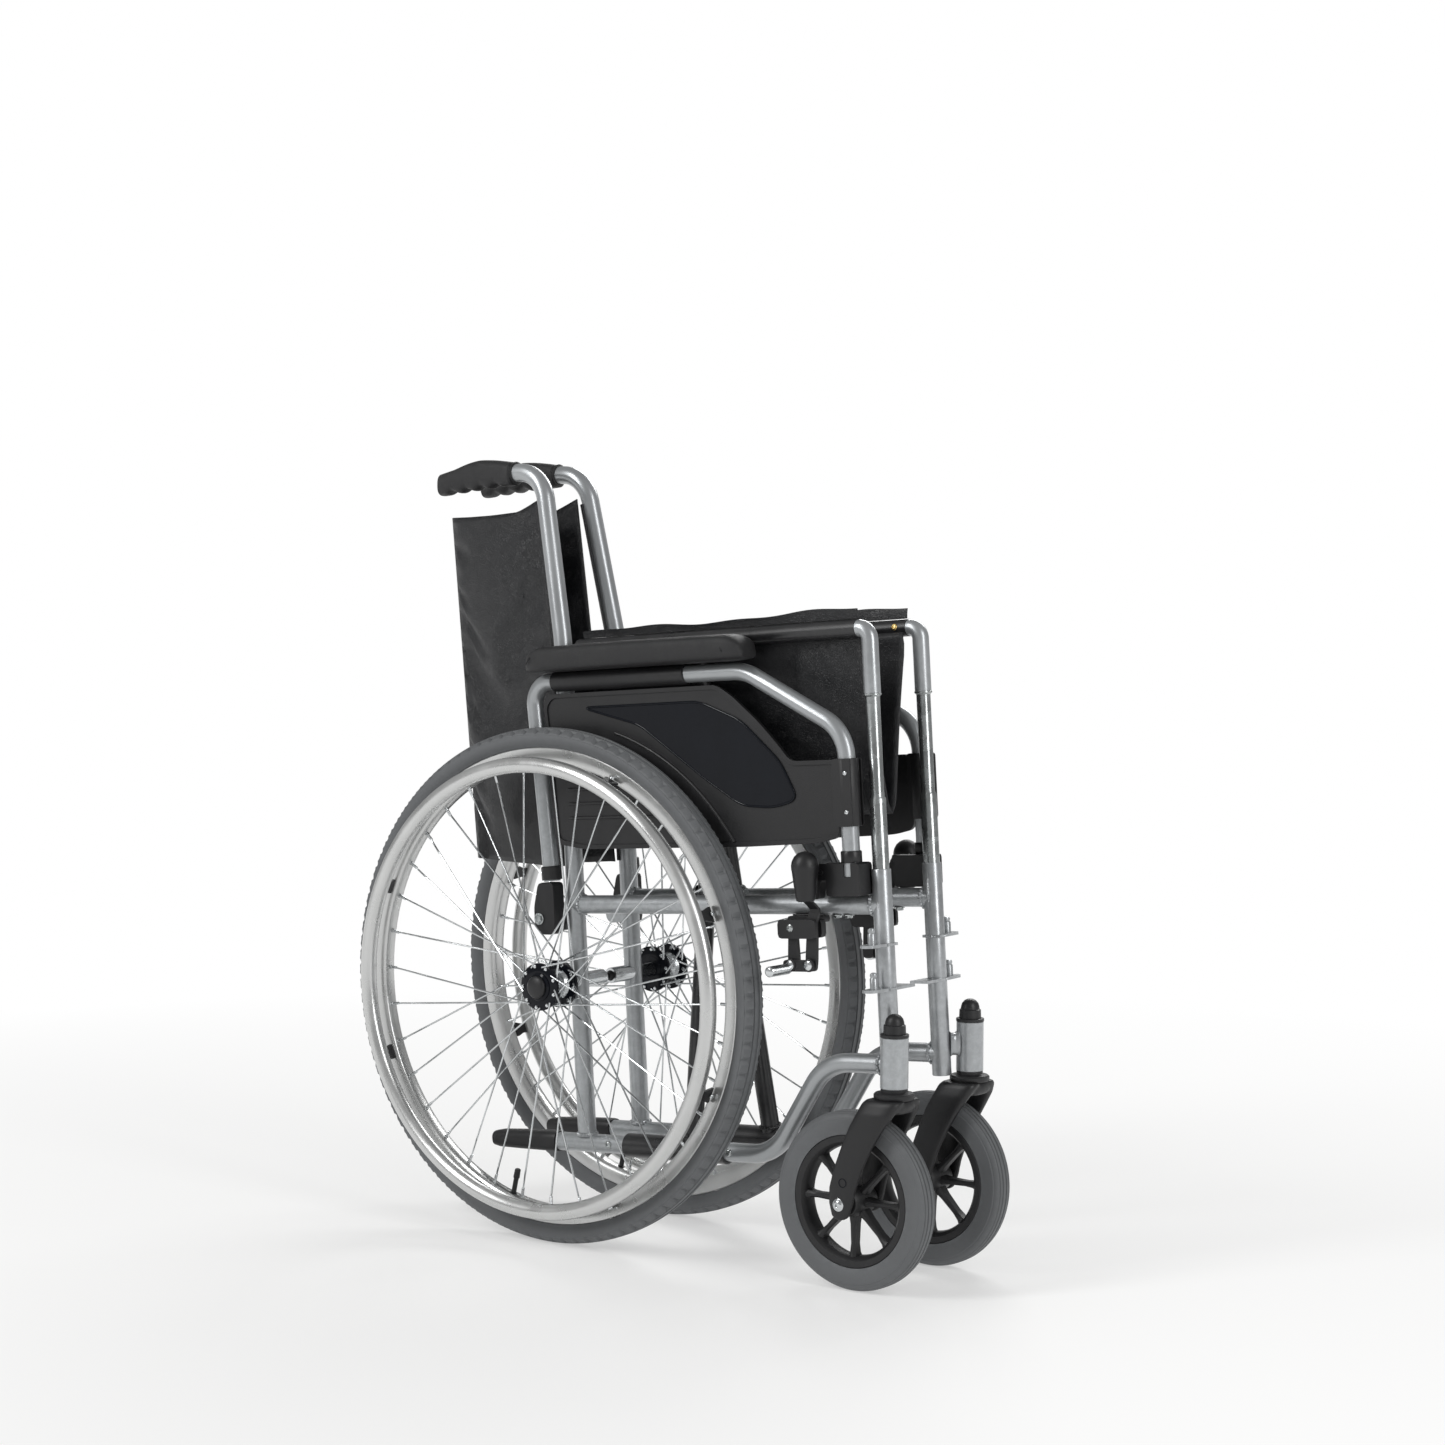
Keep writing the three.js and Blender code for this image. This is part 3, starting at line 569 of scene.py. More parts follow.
def aluminium():
    return surface("Satin aluminium", swatch("aluminium"), 0.30, 0.85, relief="Brushed lines", scale=600.0,
                   depth=0.008, vary=0.05, worn=0.1, dust=0.05)


def bright_steel():
    return surface("Bright steel", (0.62, 0.64, 0.65), 0.20, 1.0, relief="Brushed lines", scale=900.0,
                   depth=0.004, vary=0.08, worn=0.1, dust=0.03)


def black_plastic():
    return surface("Black plastic", swatch("plastic"), 0.46, scale=1100.0, depth=0.06, vary=0.2, worn=0.15, dust=0.012)


def panel_plastic():
    return surface("Panel plastic", swatch("plastic"), 0.42, scale=620.0, depth=0.13, vary=0.2, worn=0.12, dust=0.012)


def gloss_insert():
    return surface("Gloss insert", (0.006, 0.007, 0.010), 0.08, scale=400.0, depth=0.002, vary=0.2, worn=0.15,
                   dust=0.02, rough_vary=0.03, specular=0.16)


def soft_grip():
    return surface("Soft grip", swatch("grip"), 0.55, relief="Leather grain", scale=950.0, depth=0.09, vary=0.2,
                   worn=0.1, dust=0.012)


def grey_rubber():
    return surface("Grey rubber", swatch("tyre"), 0.62, scale=700.0, depth=0.06, vary=0.10, worn=0.25, dust=0.05)


def grained_vinyl():
    return surface("Grained vinyl", swatch("vinyl"), 0.42, relief="Leather grain", scale=430.0, depth=0.20,
                   vary=0.22, worn=0.1, dust=0.01, rough_vary=0.08)


def thread():
    return surface("Thread", (0.030, 0.030, 0.033), 0.7, scale=2500.0, depth=0.08, vary=0.3, worn=0.0, dust=0.05)


def brass():
    return surface("Brass", (0.55, 0.40, 0.16), 0.28, 1.0, relief="Brushed lines", scale=900.0, depth=0.004,
                   vary=0.08, worn=0.1, dust=0.02)


# ---- Side frames ----------------------------------------------------------------------------------
def build_frame(shape):
    """Back post with its cane, both rails, the arm plate and their welds."""
    y = SIDE_Y
    shape.tube(rounded([at(BACK_S, y, LOWER_N + 8), at(BACK_S, y, 712), level(-69, HANDLE_Y, HANDLE_Z),
                        level(-140, HANDLE_Y, HANDLE_Z)], [180, 42], 14))
    shape.tube([at(BACK_S, y, UPPER_N), at(FRONT_S, y, UPPER_N)])
    shape.tube(rounded([at(-20.2, y, LOWER_N), at(300, y, LOWER_N), at(378, y, LOWER_FRONT_N),
                        at(FRONT_S, y, LOWER_FRONT_N)], [62, 62], 14))
    shape.weld(at(BACK_S + 11, y, UPPER_N), RAIL, 11)
    shape.weld(at(FRONT_S - 11, y, UPPER_N), RAIL, 11)
    shape.weld(at(FRONT_S - 11, y, LOWER_FRONT_N), RAIL, 11)
    shape.weld(at(BACK_S, y, LOWER_N + 11), POST, 11)
    shape.plate([[-20, 369], [-14, 364], [17, 366], [21, 398], [-2, 399], [-6, 392], [-17, 391], [-22, 382]],
                y - 8, y - 4, 6)
    shape.weld(at(BACK_S - 11, y - 5, 390), POST, 3, bead=1.6, sides=14)


def build_receiver(shape):
    """The steel tube that takes the axle, with its collar."""
    start = level(0, -84.5, AXLE_Z)
    inward = level(0, 0, AXLE_Z)
    shape.turn(start, inward, [(0, 6.4), (0, 9.5), (36, 9.5), (37, 9.9), (38, 9.5), (76, 9.5), (77, 9.0), (77, 6.4)],
               0, 32, loop=True)
    shape.turn(level(0, -47, AXLE_Z), inward, [(0, 5.8), (38, 5.8), (45, 4.4), (45.5, 2.0)], 1, 24)


def build_front_post(shape):
    """Hollow post, caster head and bracket, with the two footrest pins."""
    y = SIDE_Y
    low, top = at(FRONT_S, y, 194), at(FRONT_S, y, 435.3)
    length = (top - low).length / MM
    shape.turn(low, top, [(0.6, 9.9), (0, 10.4), (0.8, 11), (length - 0.8, 11), (length, 10.4),
                          (length - 0.6, 9.9)], 0, 32, loop=True)
    head = Vector((STEM_X, CASTER.y, HEAD_Z[0]))
    shape.turn(head, head + UP, [(1, 9.4), (0, 10.5), (0, 14.6), (1, 15.5), (56, 15.5), (57, 14.6),
                                 (57, 10.5), (56, 9.4)], 0, 40, loop=True)
    shape.turn(head + UP * 57 * MM, head + UP, [(0, 10), (0, 15.9), (2.8, 15.9), (3.2, 15.2), (3.2, 10)],
               1, 40, loop=True)
    middle = Vector((STEM_X, CASTER.y, 260 * MM))
    post = at(FRONT_S, y, 228)
    post.z = middle.z
    side = (middle - post).normalized()
    across = UP.cross(side)
    start, end = post + side * 9.5 * MM, middle - side * 14 * MM
    rings = []
    for share, wide, tall in ((0, 10.5, 15), (0.3, 8.5, 12.5), (0.7, 8.5, 12.5), (1, 10, 15)):
        centre = start.lerp(end, share)
        rings.append([centre + across * wide * MM * signed_power(math.cos(t), 0.6)
                      + Vector((0, 0, tall * MM * signed_power(math.sin(t), 0.6)))
                      for t in (2 * math.pi * j / 24 for j in range(24))])
    shape.skin(rings)
    for n, inboard in ((352, 8), (303, 38)):
        shape.plate([[FRONT_S + a, n + b] for a, b in ((-12, -1.5), (12, -1.5), (12, 1.5), (-12, 1.5))],
                    y - 11, y + inboard)
        flat = outline([(-12, 10), (-9, -26), (-4, -30), (4, -30), (9, -26), (12, 10)], 5)
        shape.skin([[at(FRONT_S + a, y - 10 + b, n + h) for a, b in flat] for h in (-1.6, 1.6)])
        foot = at(FRONT_S, y - 25, n)
        up = at(FRONT_S, y - 25, n + 20)
        shape.turn(foot, up, [(0, 4.6), (13, 4.6), (14.5, 3.6), (16.5, 4.3), (18.8, 3.6), (20, 1.5)], 0, 20)
        shape.weld(at(FRONT_S, y, n), up - foot, 11.3, bead=1.1)


def build_tip_foot(shape):
    """Black plug that an attendant steps on."""
    shape.loft([(s, centre, tall, wide, SIDE_Y, 2.9) for s, centre, tall, wide in (
        (-123, 110, 6.5, 10), (-121, 109.6, 9, 12), (-112, 109.5, 10.6, 13), (-80, 109.8, 11.6, 13),
        (-45, 110, 12.2, 13.2), (-25, 110, 12.6, 13.2), (-20.6, 110, 12.0, 12.6))])


def build_grip(shape):
    """Push grip with finger grooves below and a crowned, drooping back."""
    rear, front = -231, -112
    steps = 60
    sections = []
    for i in range(steps + 1):
        t = i / steps
        x = front + (rear - front) * t
        top = 926.5 + 4.0 * math.sin(math.pi * min(1, t * 1.25)) - 17 * max(0, t - 0.45) ** 1.35 * 1.6
        grooves = 4.2 * (1 - abs(math.cos((t - 0.12) * math.pi / 0.2)) ** 1.6) if 0.12 < t < 0.92 else 0.0
        bottom = 899 - 11.5 * t + grooves
        close = min(1.0, (1 - t) * 22 + 0.80, t * 30 + 0.86)
        middle, half = (top + bottom) / 2, (top - bottom) / 2 * close
        sections.append((x, middle, half, (14.6 - 1.2 * t) * close, HANDLE_Y, 2.9))
    shape.loft(sections, place=level, sides=40)
    shape.turn(level(front, HANDLE_Y, HANDLE_Z), level(0, HANDLE_Y, HANDLE_Z),
               [(-1, 13), (1.5, 13.6), (2.5, 12), (2.5, 11.1)], 0, 32)


class WHEELCHAIR_OT_side_frames(Operator):
    """Builds the silver side frames, front posts, axle receivers and tip feet"""
    bl_idname = "wheelchair.side_frames"
    bl_label = "Side frames"

    def execute(self, context):
        pair("side_frame", build_frame, [silver_paint()], "frame", "silver_paint",
             ["back_post", "upper_rail", "lower_rail"])
        pair("receiver", build_receiver, [bright_steel(), black_plastic()], "frame", "zinc")
        pair("post_and_head", build_front_post, [silver_paint(), black_plastic()], "frame", "silver_paint",
             ["front_post"])
        pair("foot_plug", build_tip_foot, [black_plastic()], "frame", "black_plastic", ["tip_foot"], bevel=1.0)
        return {"FINISHED"}


class WHEELCHAIR_OT_push_grips(Operator):
    """Builds the moulded push grips"""
    bl_idname = "wheelchair.push_grips"
    bl_label = "Push grips"

    def execute(self, context):
        pair("grip", build_grip, [soft_grip()], "frame", "soft_grip", ["push_grip"])
        return {"FINISHED"}


# ---- Rear wheels ----------------------------------------------------------------------------------
def wheel_ring(shape, centre, profile, segments=120, lift=None):
    """Turns a closed profile of (radius, y) in mm about the wheel axis; lift raises points round it."""
    rings = []
    for i in range(segments):
        t = 2 * math.pi * i / segments
        ring = []
        for k, (r, y) in enumerate(profile):
            r = r + (lift(i, k) if lift else 0)
            ring.append(centre + Vector((r * MM * math.cos(t), y * MM, r * MM * math.sin(t))))
        rings.append(ring)
    shape.skin(rings, loop=True)


def facing(profile):
    """The other half of a profile that is the same on both sides of the wheel."""
    return [(r, -y) for r, y in profile[::-1]]


def build_tyre(shape):
    """Grey tyre with block shoulders and two grooves round the crown."""
    inner = WHEEL_R / MM - 23
    profile = [(inner + rise, y) for rise, y in (
        (0, -11.5), (3, -14), (8, -16.6), (12, -16.9), (14.5, -16.6), (15, -15.9), (17, -15.4), (19.2, -13.6),
        (20.8, -11.2), (21.8, -8.6), (22, -8.0), (20.8, -7.6), (20.8, -6.8), (22.6, -6.4), (23, -2.4), (21.6, -2.0))]
    whole = profile + facing(profile)
    last = len(whole)
    blocks = bpy.context.scene.wheelchair_sizes.tread_blocks
    shoulder = {5: 0.8, 6: 1.6, 7: 3.0, 8: 3.4, 9: 3.0}

    def lift(i, k):
        k = k if k < len(profile) else last - 1 - k
        cut = i % 4 == 3 or (i % 4 == 1 and k in (7, 8))
        return -shoulder[k] * (1.0 if i % 4 == 3 else 0.45) if cut and k in shoulder else 0.0

    wheel_ring(shape, WHEEL, whole, blocks * 4, lift)


def spoke_point(radius, y, turn):
    """A point in the rear wheel, in mm from its middle and turned about its axis."""
    return WHEEL + Vector((radius * math.cos(turn), y, radius * math.sin(turn))) * MM


def build_rim(shape):
    """Box-section rim, spoke nipples and valve."""
    outer = WHEEL_R / MM - 23.3
    inner = outer - 19
    profile = [(inner, -6.5), (inner + 1.5, -8.6), (inner + 6, -10.6), (outer - 6, -11.4), (outer - 1, -12),
               (outer, -11.2)]
    wheel_ring(shape, WHEEL, profile + facing(profile))
    spokes = bpy.context.scene.wheelchair_sizes.spokes
    for i in range(spokes):
        nipple = spoke_point(inner + 1, 0, 2 * math.pi * i / spokes)
        shape.turn(nipple, WHEEL, [(0, 2.6), (2, 2.6), (3, 1.9), (12, 1.7), (12.6, 1.2)], 1, 12)
    valve = spoke_point(inner + 1, 0, math.radians(-103))
    shape.turn(valve, WHEEL, [(0, 4.2), (2, 4.2), (2.4, 3.0), (20, 3.0), (21, 3.9), (31, 3.6), (32, 2.6)], 2, 18)


def build_hub(shape):
    """Black flanged hub with a bright barrel and crossed spokes."""
    axis = Vector((0, 1, 0))
    inner, outer = 13.5, -21.0
    for flange in (inner, outer):
        centre = WHEEL + axis * flange * MM
        shape.turn(centre - axis * 2.2 * MM, centre + axis,
                   [(0, 15), (0, 26.6), (0.7, 28), (3.7, 28), (4.4, 26.6), (4.4, 15)], 0, 48)
    shape.turn(WHEEL + axis * outer * MM, WHEEL + axis,
               [(0, 19), (6, 15.5), (9, 13.8), (26, 13.8), (29, 15.5), (34, 19)], 1, 40)
    shape.turn(WHEEL + axis * 16.5 * MM, WHEEL, [(0, 12), (-0.01, 16), (-0.01, 16), (3, 16), (3, 12)], 0, 32)
    shape.turn(WHEEL - axis * 21 * MM, WHEEL - axis * 40 * MM,
               [(0, 17.5), (3.4, 16.8), (4.9, 14.5), (5.0, 14.2)], 0, 40)
    spokes = bpy.context.scene.wheelchair_sizes.spokes
    rim = WHEEL_R / MM - 42.3 - 7
    for i in range(spokes):
        flange = inner if i % 2 else outer
        lean = (1 if (i // 2) % 2 else -1) * 2 * math.pi * 3 / spokes * 1.9
        t = 2 * math.pi * i / spokes
        face = 2.9 if i % 4 < 2 else -2.9
        foot, tip = spoke_point(24.5, flange + face, t + lean), spoke_point(rim, 0, t)
        head = foot - Vector((0, face * 2.0 * MM, 0))
        shape.tube([head, foot, tip], [1.1 * MM] * 3, 2, 8)
        shape.turn(head, head - Vector((0, face, 0)), [(-1, 2.3), (0.6, 2.3), (1.4, 1.4)], 2, 12)


def build_axle_cap(shape):
    """Dome over the wheel bearing."""
    centre = WHEEL + OUT * 26.6 * MM
    shape.turn(centre, centre + OUT, [(-0.3, 13.2), (1.5, 13.5), (3.2, 12.6), (4.8, 10), (5.6, 5), (5.8, 0.5)],
               0, 40)


def build_handrim(shape):
    """Aluminium hand rim on eight tabs."""
    radius = 262.5
    path = [spoke_point(radius, -38, 2 * math.pi * k / 160) for k in range(160)]
    shape.tube(path, 9.5 * MM, 0, 24, loop=True)
    for i in range(8):
        t = 2 * math.pi * (i + 0.5) / 8
        turn = Matrix.Rotation(-t, 3, "Y")
        strip = []
        for y, r, wide in ((-12.2, 4.5, 9), (-16, 5.0, 9), (-24, 3.2, 6), (-31, 1.5, 6.5), (-36, -2.5, 7)):
            strip.append([WHEEL + turn @ Vector(((radius + r + b) * MM, y * MM, a * MM))
                          for a, b in ((-wide, -1.4), (wide, -1.4), (wide, 1.4), (-wide, 1.4))])
        shape.skin(strip, 1)
        spot = WHEEL + turn @ Vector(((radius + 8) * MM, -14.5 * MM, 0))
        shape.screw(spot, turn @ Vector((1, 0, 0)), 3.0, 2, 1.8)


class WHEELCHAIR_OT_rear_wheels(Operator):
    """Builds the rear wheels: tyres, rims, hubs, spokes and hand rims"""
    bl_idname = "wheelchair.rear_wheels"
    bl_label = "Rear wheels"

    def execute(self, context):
        pair("wheel_tyre", build_tyre, [grey_rubber()], "wheel", "grey_tyre", ["tyre"], angle=28)
        pair("wheel_rim", build_rim, [aluminium(), bright_steel(), black_plastic()], "wheel", "aluminium", ["rim"])
        pair("wheel_hub", build_hub, [gloss_insert(), bright_steel(), bright_steel()], "wheel", "zinc", ["hub"])
        pair("hub_cap", build_axle_cap, [black_plastic()], "frame", "black_plastic", ["axle"])
        pair("hand_rim", build_handrim, [aluminium(), black_plastic(), bright_steel()], "wheel", "aluminium",
             ["handrim"])
        return {"FINISHED"}


# ---- Casters --------------------------------------------------------------------------------------
def build_caster_tyre(shape):
    """Solid grey tyre with three grooves."""
    profile = [(73.9, -12.5), (80, -14.2), (88, -15), (91, -14.7), (92, -13.9), (93.5, -13.7), (97, -11.4),
               (97.6, -10.4), (96.8, -10), (98.4, -9.2), (99.4, -7.2), (98.4, -6.6), (98.6, -5.8), (99.9, -5.2),
               (100, -1.4), (98.8, -0.9)]
    wheel_ring(shape, CASTER, profile + facing(profile), 128)


def build_caster_wheel(shape):
    """Black moulded wheel with eight tapering spokes."""
    felloe = [(61, -4), (62.5, -9), (66, -12.4), (72.6, -13), (73.6, -12)]
    wheel_ring(shape, CASTER, felloe + facing(felloe), 96)
    shape.turn(CASTER + OUT * 21 * MM, CASTER, [(0, 5.6), (0, 14), (1.5, 15.5), (12, 17), (30, 17), (40.5, 15.5),
                                                (42, 14), (42, 5.6)], 0, 40, loop=True)
    section = [(-1, -0.7), (-0.35, -1), (0.35, -1), (1, -0.7), (1, 0.7), (0.35, 1), (-0.35, 1), (-1, 0.7)]
    for i in range(8):
        turn = Matrix.Rotation(2 * math.pi * i / 8, 3, "Y")
        rings = []
        for r, wide, deep in ((14, 5.2, 8.5), (26, 3.6, 7.2), (48, 2.9, 6.4), (58, 3.6, 7.6), (64, 6.0, 9.0)):
            rings.append([CASTER + turn @ (Vector((r, deep * d, wide * w)) * MM) for w, d in section])
        shape.skin(rings)


def build_fork(shape):
    """Swept legs and crown, moulded in one."""
    stem = 470.6
    leg = [(83, 0, 5, 30, 3.8), (86, 0, 10.5, 30, 4.6), (100, 1, 15.5, 30, 5.0), (118, 3, 17.5, 30, 5.2),
           (140, 10, 18.5, 30, 5.2), (165, 21, 20, 29.5, 5.6), (185, 31, 22, 28, 6.5), (203, 41, 23.5, 24, 8.5),
           (214, 46, 24, 18, 11), (218, 48, 22, 14, 12)]

    def leg_ring(z, centre, half, y, thick):
        ring = []
        for j in range(20):
            t = 2 * math.pi * j / 20
            ring.append(level(centre + half * signed_power(math.cos(t), 0.72),
                              y + thick * signed_power(math.sin(t), 0.72), z))
        return ring

    middle = CASTER.y / MM
    for side in (-1, 1):
        shape.skin([leg_ring(z, 421.0 + sweep, half, middle + side * y, thick) for z, sweep, half, y, thick in leg])
    shape.skin([leg_ring(z, stem - 3, half, middle, wide)
                for z, half, wide in ((203, 20, 20), (208, 23, 26), (215, 22, 24), (219, 19, 19))])


def build_stem(shape):
    """Bearing collar, dust cap, wheel bolt and the spare holes in the legs."""
    low = Vector((STEM_X, CASTER.y, 216 * MM))
    shape.turn(low, low + UP, [(0, 16), (2, 21.5), (4, 22.6), (7, 22.6), (8.6, 21), (9, 17), (10, 15), (13, 15),
                               (13, 5)], 0, 44)
    cap = Vector((STEM_X, CASTER.y, HEAD_Z[1] + 3.2 * MM))
    shape.turn(cap, cap + UP, [(0, 12.6), (9.5, 12.2), (10.2, 11.2), (10.4, 10.8), (13.5, 10.4), (17, 9.2),
                               (20, 6.6), (21.6, 3.4), (21.9, 0.3)], 0, 40)
    for side in (-1, 1):
        face = Vector((CASTER.x, CASTER.y + side * 35.0 * MM, CASTER.z))
        shape.screw(face, Vector((0, side, 0)), 5.6, 1, 2.4)
        ring = face + Vector((0.5 * MM, 0, 0))
        shape.turn(ring - Vector((0, side * 2 * MM, 0)), ring + Vector((0, side, 0)),
                   [(0, 7), (2.4, 7), (2.8, 6.2)], 1, 32)
    shape.rod(CASTER + OUT * 36 * MM, CASTER - OUT * 36 * MM, 5 * MM, 1)
    for side in (-1, 1):
        hole = Vector((CASTER.x + 6 * MM, CASTER.y + side * 34.9 * MM, CASTER.z + 25 * MM))
        shape.turn(hole, hole + Vector((0, side, 0)), [(0, 5.2), (0.6, 5.2), (0.6, 4.2), (-2.5, 4.0)], 2, 28)


class WHEELCHAIR_OT_casters(Operator):
    """Builds the casters: forks, collars, caps, wheels and tyres"""
    bl_idname = "wheelchair.casters"
    bl_label = "Casters"

    def execute(self, context):
        pair("caster_rubber", build_caster_tyre, [grey_rubber()], "caster_wheel", "grey_tyre", ["caster_tyre"], angle=30)
        pair("caster_spokes", build_caster_wheel, [black_plastic()], "caster_wheel", "black_plastic", ["caster_wheel"])
        pair("caster_legs", build_fork, [black_plastic()], "caster", "black_plastic", ["caster_fork"], voxel=1.7)
        pair("caster_stem", build_stem, [black_plastic(), bright_steel(), gloss_insert()], "caster", "black_plastic")
        return {"FINISHED"}


# ---- Folding cross --------------------------------------------------------------------------------
def build_brace(shape, s, y):
    """A brace from its sleeve on the lower rail to the far seat rail."""
    foot, top = at(s, y, LOWER_N), at(s, -y, SEAT_N)
    along = (top - foot).normalized()
    shape.tube([foot + along * 8 * MM, top - along * 14 * MM], 11 * MM)
    start, end = at(85, y, LOWER_N), at(233, y, LOWER_N)
    shape.turn(start, end, [(0.6, 11.5), (0, 12.5), (0.8, 14.4), (147.2, 14.4), (148, 12.5), (147.4, 11.5)],
               0, 40, loop=True)
    shape.weld(foot + along * 15.5 * MM, along, 11.4, bead=2.0)


def build_cross_bolt(shape):
    """Pivot bolt with its heads and spacer."""
    middle = (LOWER_N + SEAT_N) / 2
    ends = (at(163, 0, middle), at(239, 0, middle))
    shape.rod(ends[0], ends[1], 5 * MM)
    shape.turn(at(192.3, 0, middle), ends[1], [(0, 8), (0.4, 9), (16.8, 9), (17.2, 8)], 0, 32)
    shape.bolt(at(169.7, 0, middle), ends[0] - ends[1], 6.5)
    shape.bolt(at(232.3, 0, middle), ends[1] - ends[0], 6.5)


def build_seat_rail(shape, brace_s, y):
    """Black rail with its end plug and the saddle of the brace."""
    start, end = at(SEAT_SPAN[0], y, SEAT_N), at(SEAT_SPAN[1], y, SEAT_N)
    shape.tube([start, end], 10 * MM)
    shape.turn(start, start + (start - end), [(-1, 9.6), (0.6, 9.8), (2, 8.6), (2.6, 5)], 0, 32)
    centre = at(brace_s, y, SEAT_N)
    foot = at(brace_s, -y, LOWER_N)
    down = (foot - centre).normalized()
    shape.tube([centre, centre + down * 15.5 * MM], 10.2 * MM)
    shape.weld(centre + down * 9.8 * MM, down, 10.6, bead=1.8)


def build_guide(shape):
    """Elbow and telescoping guide with its crimp."""
    y = SIDE_Y
    path = rounded([at(SEAT_SPAN[1] + 0.3, y, SEAT_N), at(FRONT_S, y, SEAT_N), at(FRONT_S, y, 629)], [13.2], 12)
    shape.tube(path, 9.5 * MM, 0, 32)
    top, low = at(FRONT_S, y, 629), at(FRONT_S, y, 398)
    shape.turn(top, low, [(-0.5, 9.5), (0, 10.2), (1.6, 10.2), (2.4, 9.3), (3.6, 8.1), (114, 7.9), (115.4, 8.8),
                          (116.4, 9.35), (230, 9.35)], 1, 32)


class WHEELCHAIR_OT_folding_cross(Operator):
    """Builds the cross braces, pivot bolt, seat rails and guide tubes"""
    bl_idname = "wheelchair.folding_cross"
    bl_label = "Folding cross"

    def execute(self, context):
        for side, other, y, s, partner in (("right", "left", SIDE_Y, *BRACE_S),
                                           ("left", "right", -SIDE_Y, *BRACE_S[::-1])):
            brace = Shape()
            build_brace(brace, s, y)
            brace.piece(f"{side}_cross_brace", [black_paint()], f"{side}_cross", "black_paint", [f"{side}_brace"])
            rail = Shape()
            build_seat_rail(rail, partner, y)
            rail.piece(f"{side}_rail", [black_paint()], f"{other}_cross", "black_paint", [f"{side}_seat_rail"])
        bolt = Shape()
        build_cross_bolt(bolt)
        bolt.piece("pivot_bolt", [zinc_plate()], "right_cross", "zinc", ["cross_bolt"])
        pair("guide", build_guide, [silver_paint(), zinc_plate()], "guide", "zinc", ["guide_tube"])
        return {"FINISHED"}


# ---- Arms -----------------------------------------------------------------------------------------
def build_arm_tube(shape):
    """Bent arm tube with its black sleeve and leg collars."""
    y = ARM_Y
    shape.tube(rounded([at(6, y, 425.3), at(-9, y, 663), at(308, y, 662), at(441.5, y, 589), at(441.5, y, 429)],
                       [26, 60, 49], 14), 10 * MM)
    start, end = at(26, y, 662.4), at(226, y, 662)
    shape.turn(start, end, [(0.8, 10.1), (0, 11), (1, 11.9), (199, 11.9), (200, 11), (199.2, 10.1)], 1, 36, loop=True)
    foot = at(441.5, y, 443.8)
    shape.turn(foot, at(441.5, y, 500), [(0, 10.1), (0, 11.2), (1, 11.8), (12, 11.8), (13, 11.2), (13.4, 10.1)],
               1, 36, loop=True)
    rear = at(5.5, y, 433)
    shape.turn(rear, at(3.6, y, 470), [(-6, 10.1), (-6, 12.2), (9, 12.2), (10, 11.4), (10.4, 10.1)], 1, 36, loop=True)
    shape.bolt(at(-8.4, y - 10.4, 381), OUT, 5.2, 2, 2.6)
    shape.screw(at(12, y, 447), RAIL, 3.6, 2, 2.6)


PAD_Y, PAD_SQUARE, PAD_BASE = -88, 3.6, 673.6


def build_pad(shape):
    """Crowned pad with rolled ends."""
    half_y = 22.6
    steps = 64
    sections = []
    for i in range(steps + 1):
        t = i / steps
        s = 4 + 321 * t
        nose = min(1.0, math.sqrt(max(0.0, 1 - (1 - min(1, t * 11)) ** 2)) * 0.94 + 0.06)
        tail = min(1.0, math.sqrt(max(0.0, 1 - (1 - min(1, (1 - t) * 12)) ** 2)) * 0.92 + 0.08)
        close = min(nose, tail)
        top = PAD_BASE + 30.4 * (0.35 + 0.65 * close) + 1.2 * math.sin(math.pi * t)
        bottom = PAD_BASE + 3.2 * (1 - close)
        sections.append((s, (top + bottom) / 2, (top - bottom) / 2, half_y * (0.55 + 0.45 * close),
                         PAD_Y, PAD_SQUARE))
    shape.loft(sections, sides=48)


def build_pad_seam(shape):
    """The moulding lines round the front and back of the pad's cover."""
    for s, lean in ((296, 1), (20, -1)):
        path = []
        for j in range(41):
            t = math.pi * (0.02 + 0.96 * j / 40)
            c, rise = math.cos(t), abs(math.sin(t)) ** (2 / PAD_SQUARE)
            path.append(at(s + lean * 9 * (1 - rise), PAD_Y + 22.75 * signed_power(c, 2 / PAD_SQUARE),
                           689 + 7.95 * (rise * 2 - 1)))
        shape.tube(path, 0.8 * MM, 0, 8)


def panel_outline(inset=0.0):
    """The side panel's outline, or its raised rim's inner edge."""
    g = inset
    return [[18 + g, 470 + g], [60, 463 + g], [300, 463 + g], [400, 466 + g], [429, 472 + g], [429, 558 - g],
            [367 - g * 0.4, 558 - g], [350 - g, 578 - g], [325 - g, 604 - g], [290 - g * 0.6, 634 - g],
            [268, 648 - g], [17 + g, 648 - g], [8 + g, 638 - g], [11 + g, 600]]


def build_panel(shape):
    """Moulded side panel with its raised rim, arch rib and louvres."""
    y = ARM_Y
    shape.plate(panel_outline(), y - 1.6, y + 1.8, 9)
    outer, inner = outline(panel_outline(), 9), outline(panel_outline(5), 9)
    rings = []
    for points, out in ((outer, -1.4), (outer, -3.4), (inner, -3.4), (inner, -1.4)):
        rings.append([at(s, y + out, n) for s, n in points])
    shape.skin(rings, 0, loop=True)
    arch = [(HUB_S + 309 * math.cos(t), HUB_N + 309 * math.sin(t))
            for t in (math.radians(72 - 1.9 * k) for k in range(22))]
    shape.tube([at(s, y - 2.0, n) for s, n in arch], 2.4 * MM, 0, 10)
    for k in range(6):
        n = 500 + 17 * k
        reach = math.sqrt(300 ** 2 - (n - HUB_N) ** 2) + HUB_S - 26
        shape.tube([at(40, y - 2.0, n), at(min(reach, 205), y - 2.0, n)], 1.9 * MM, 0, 8)


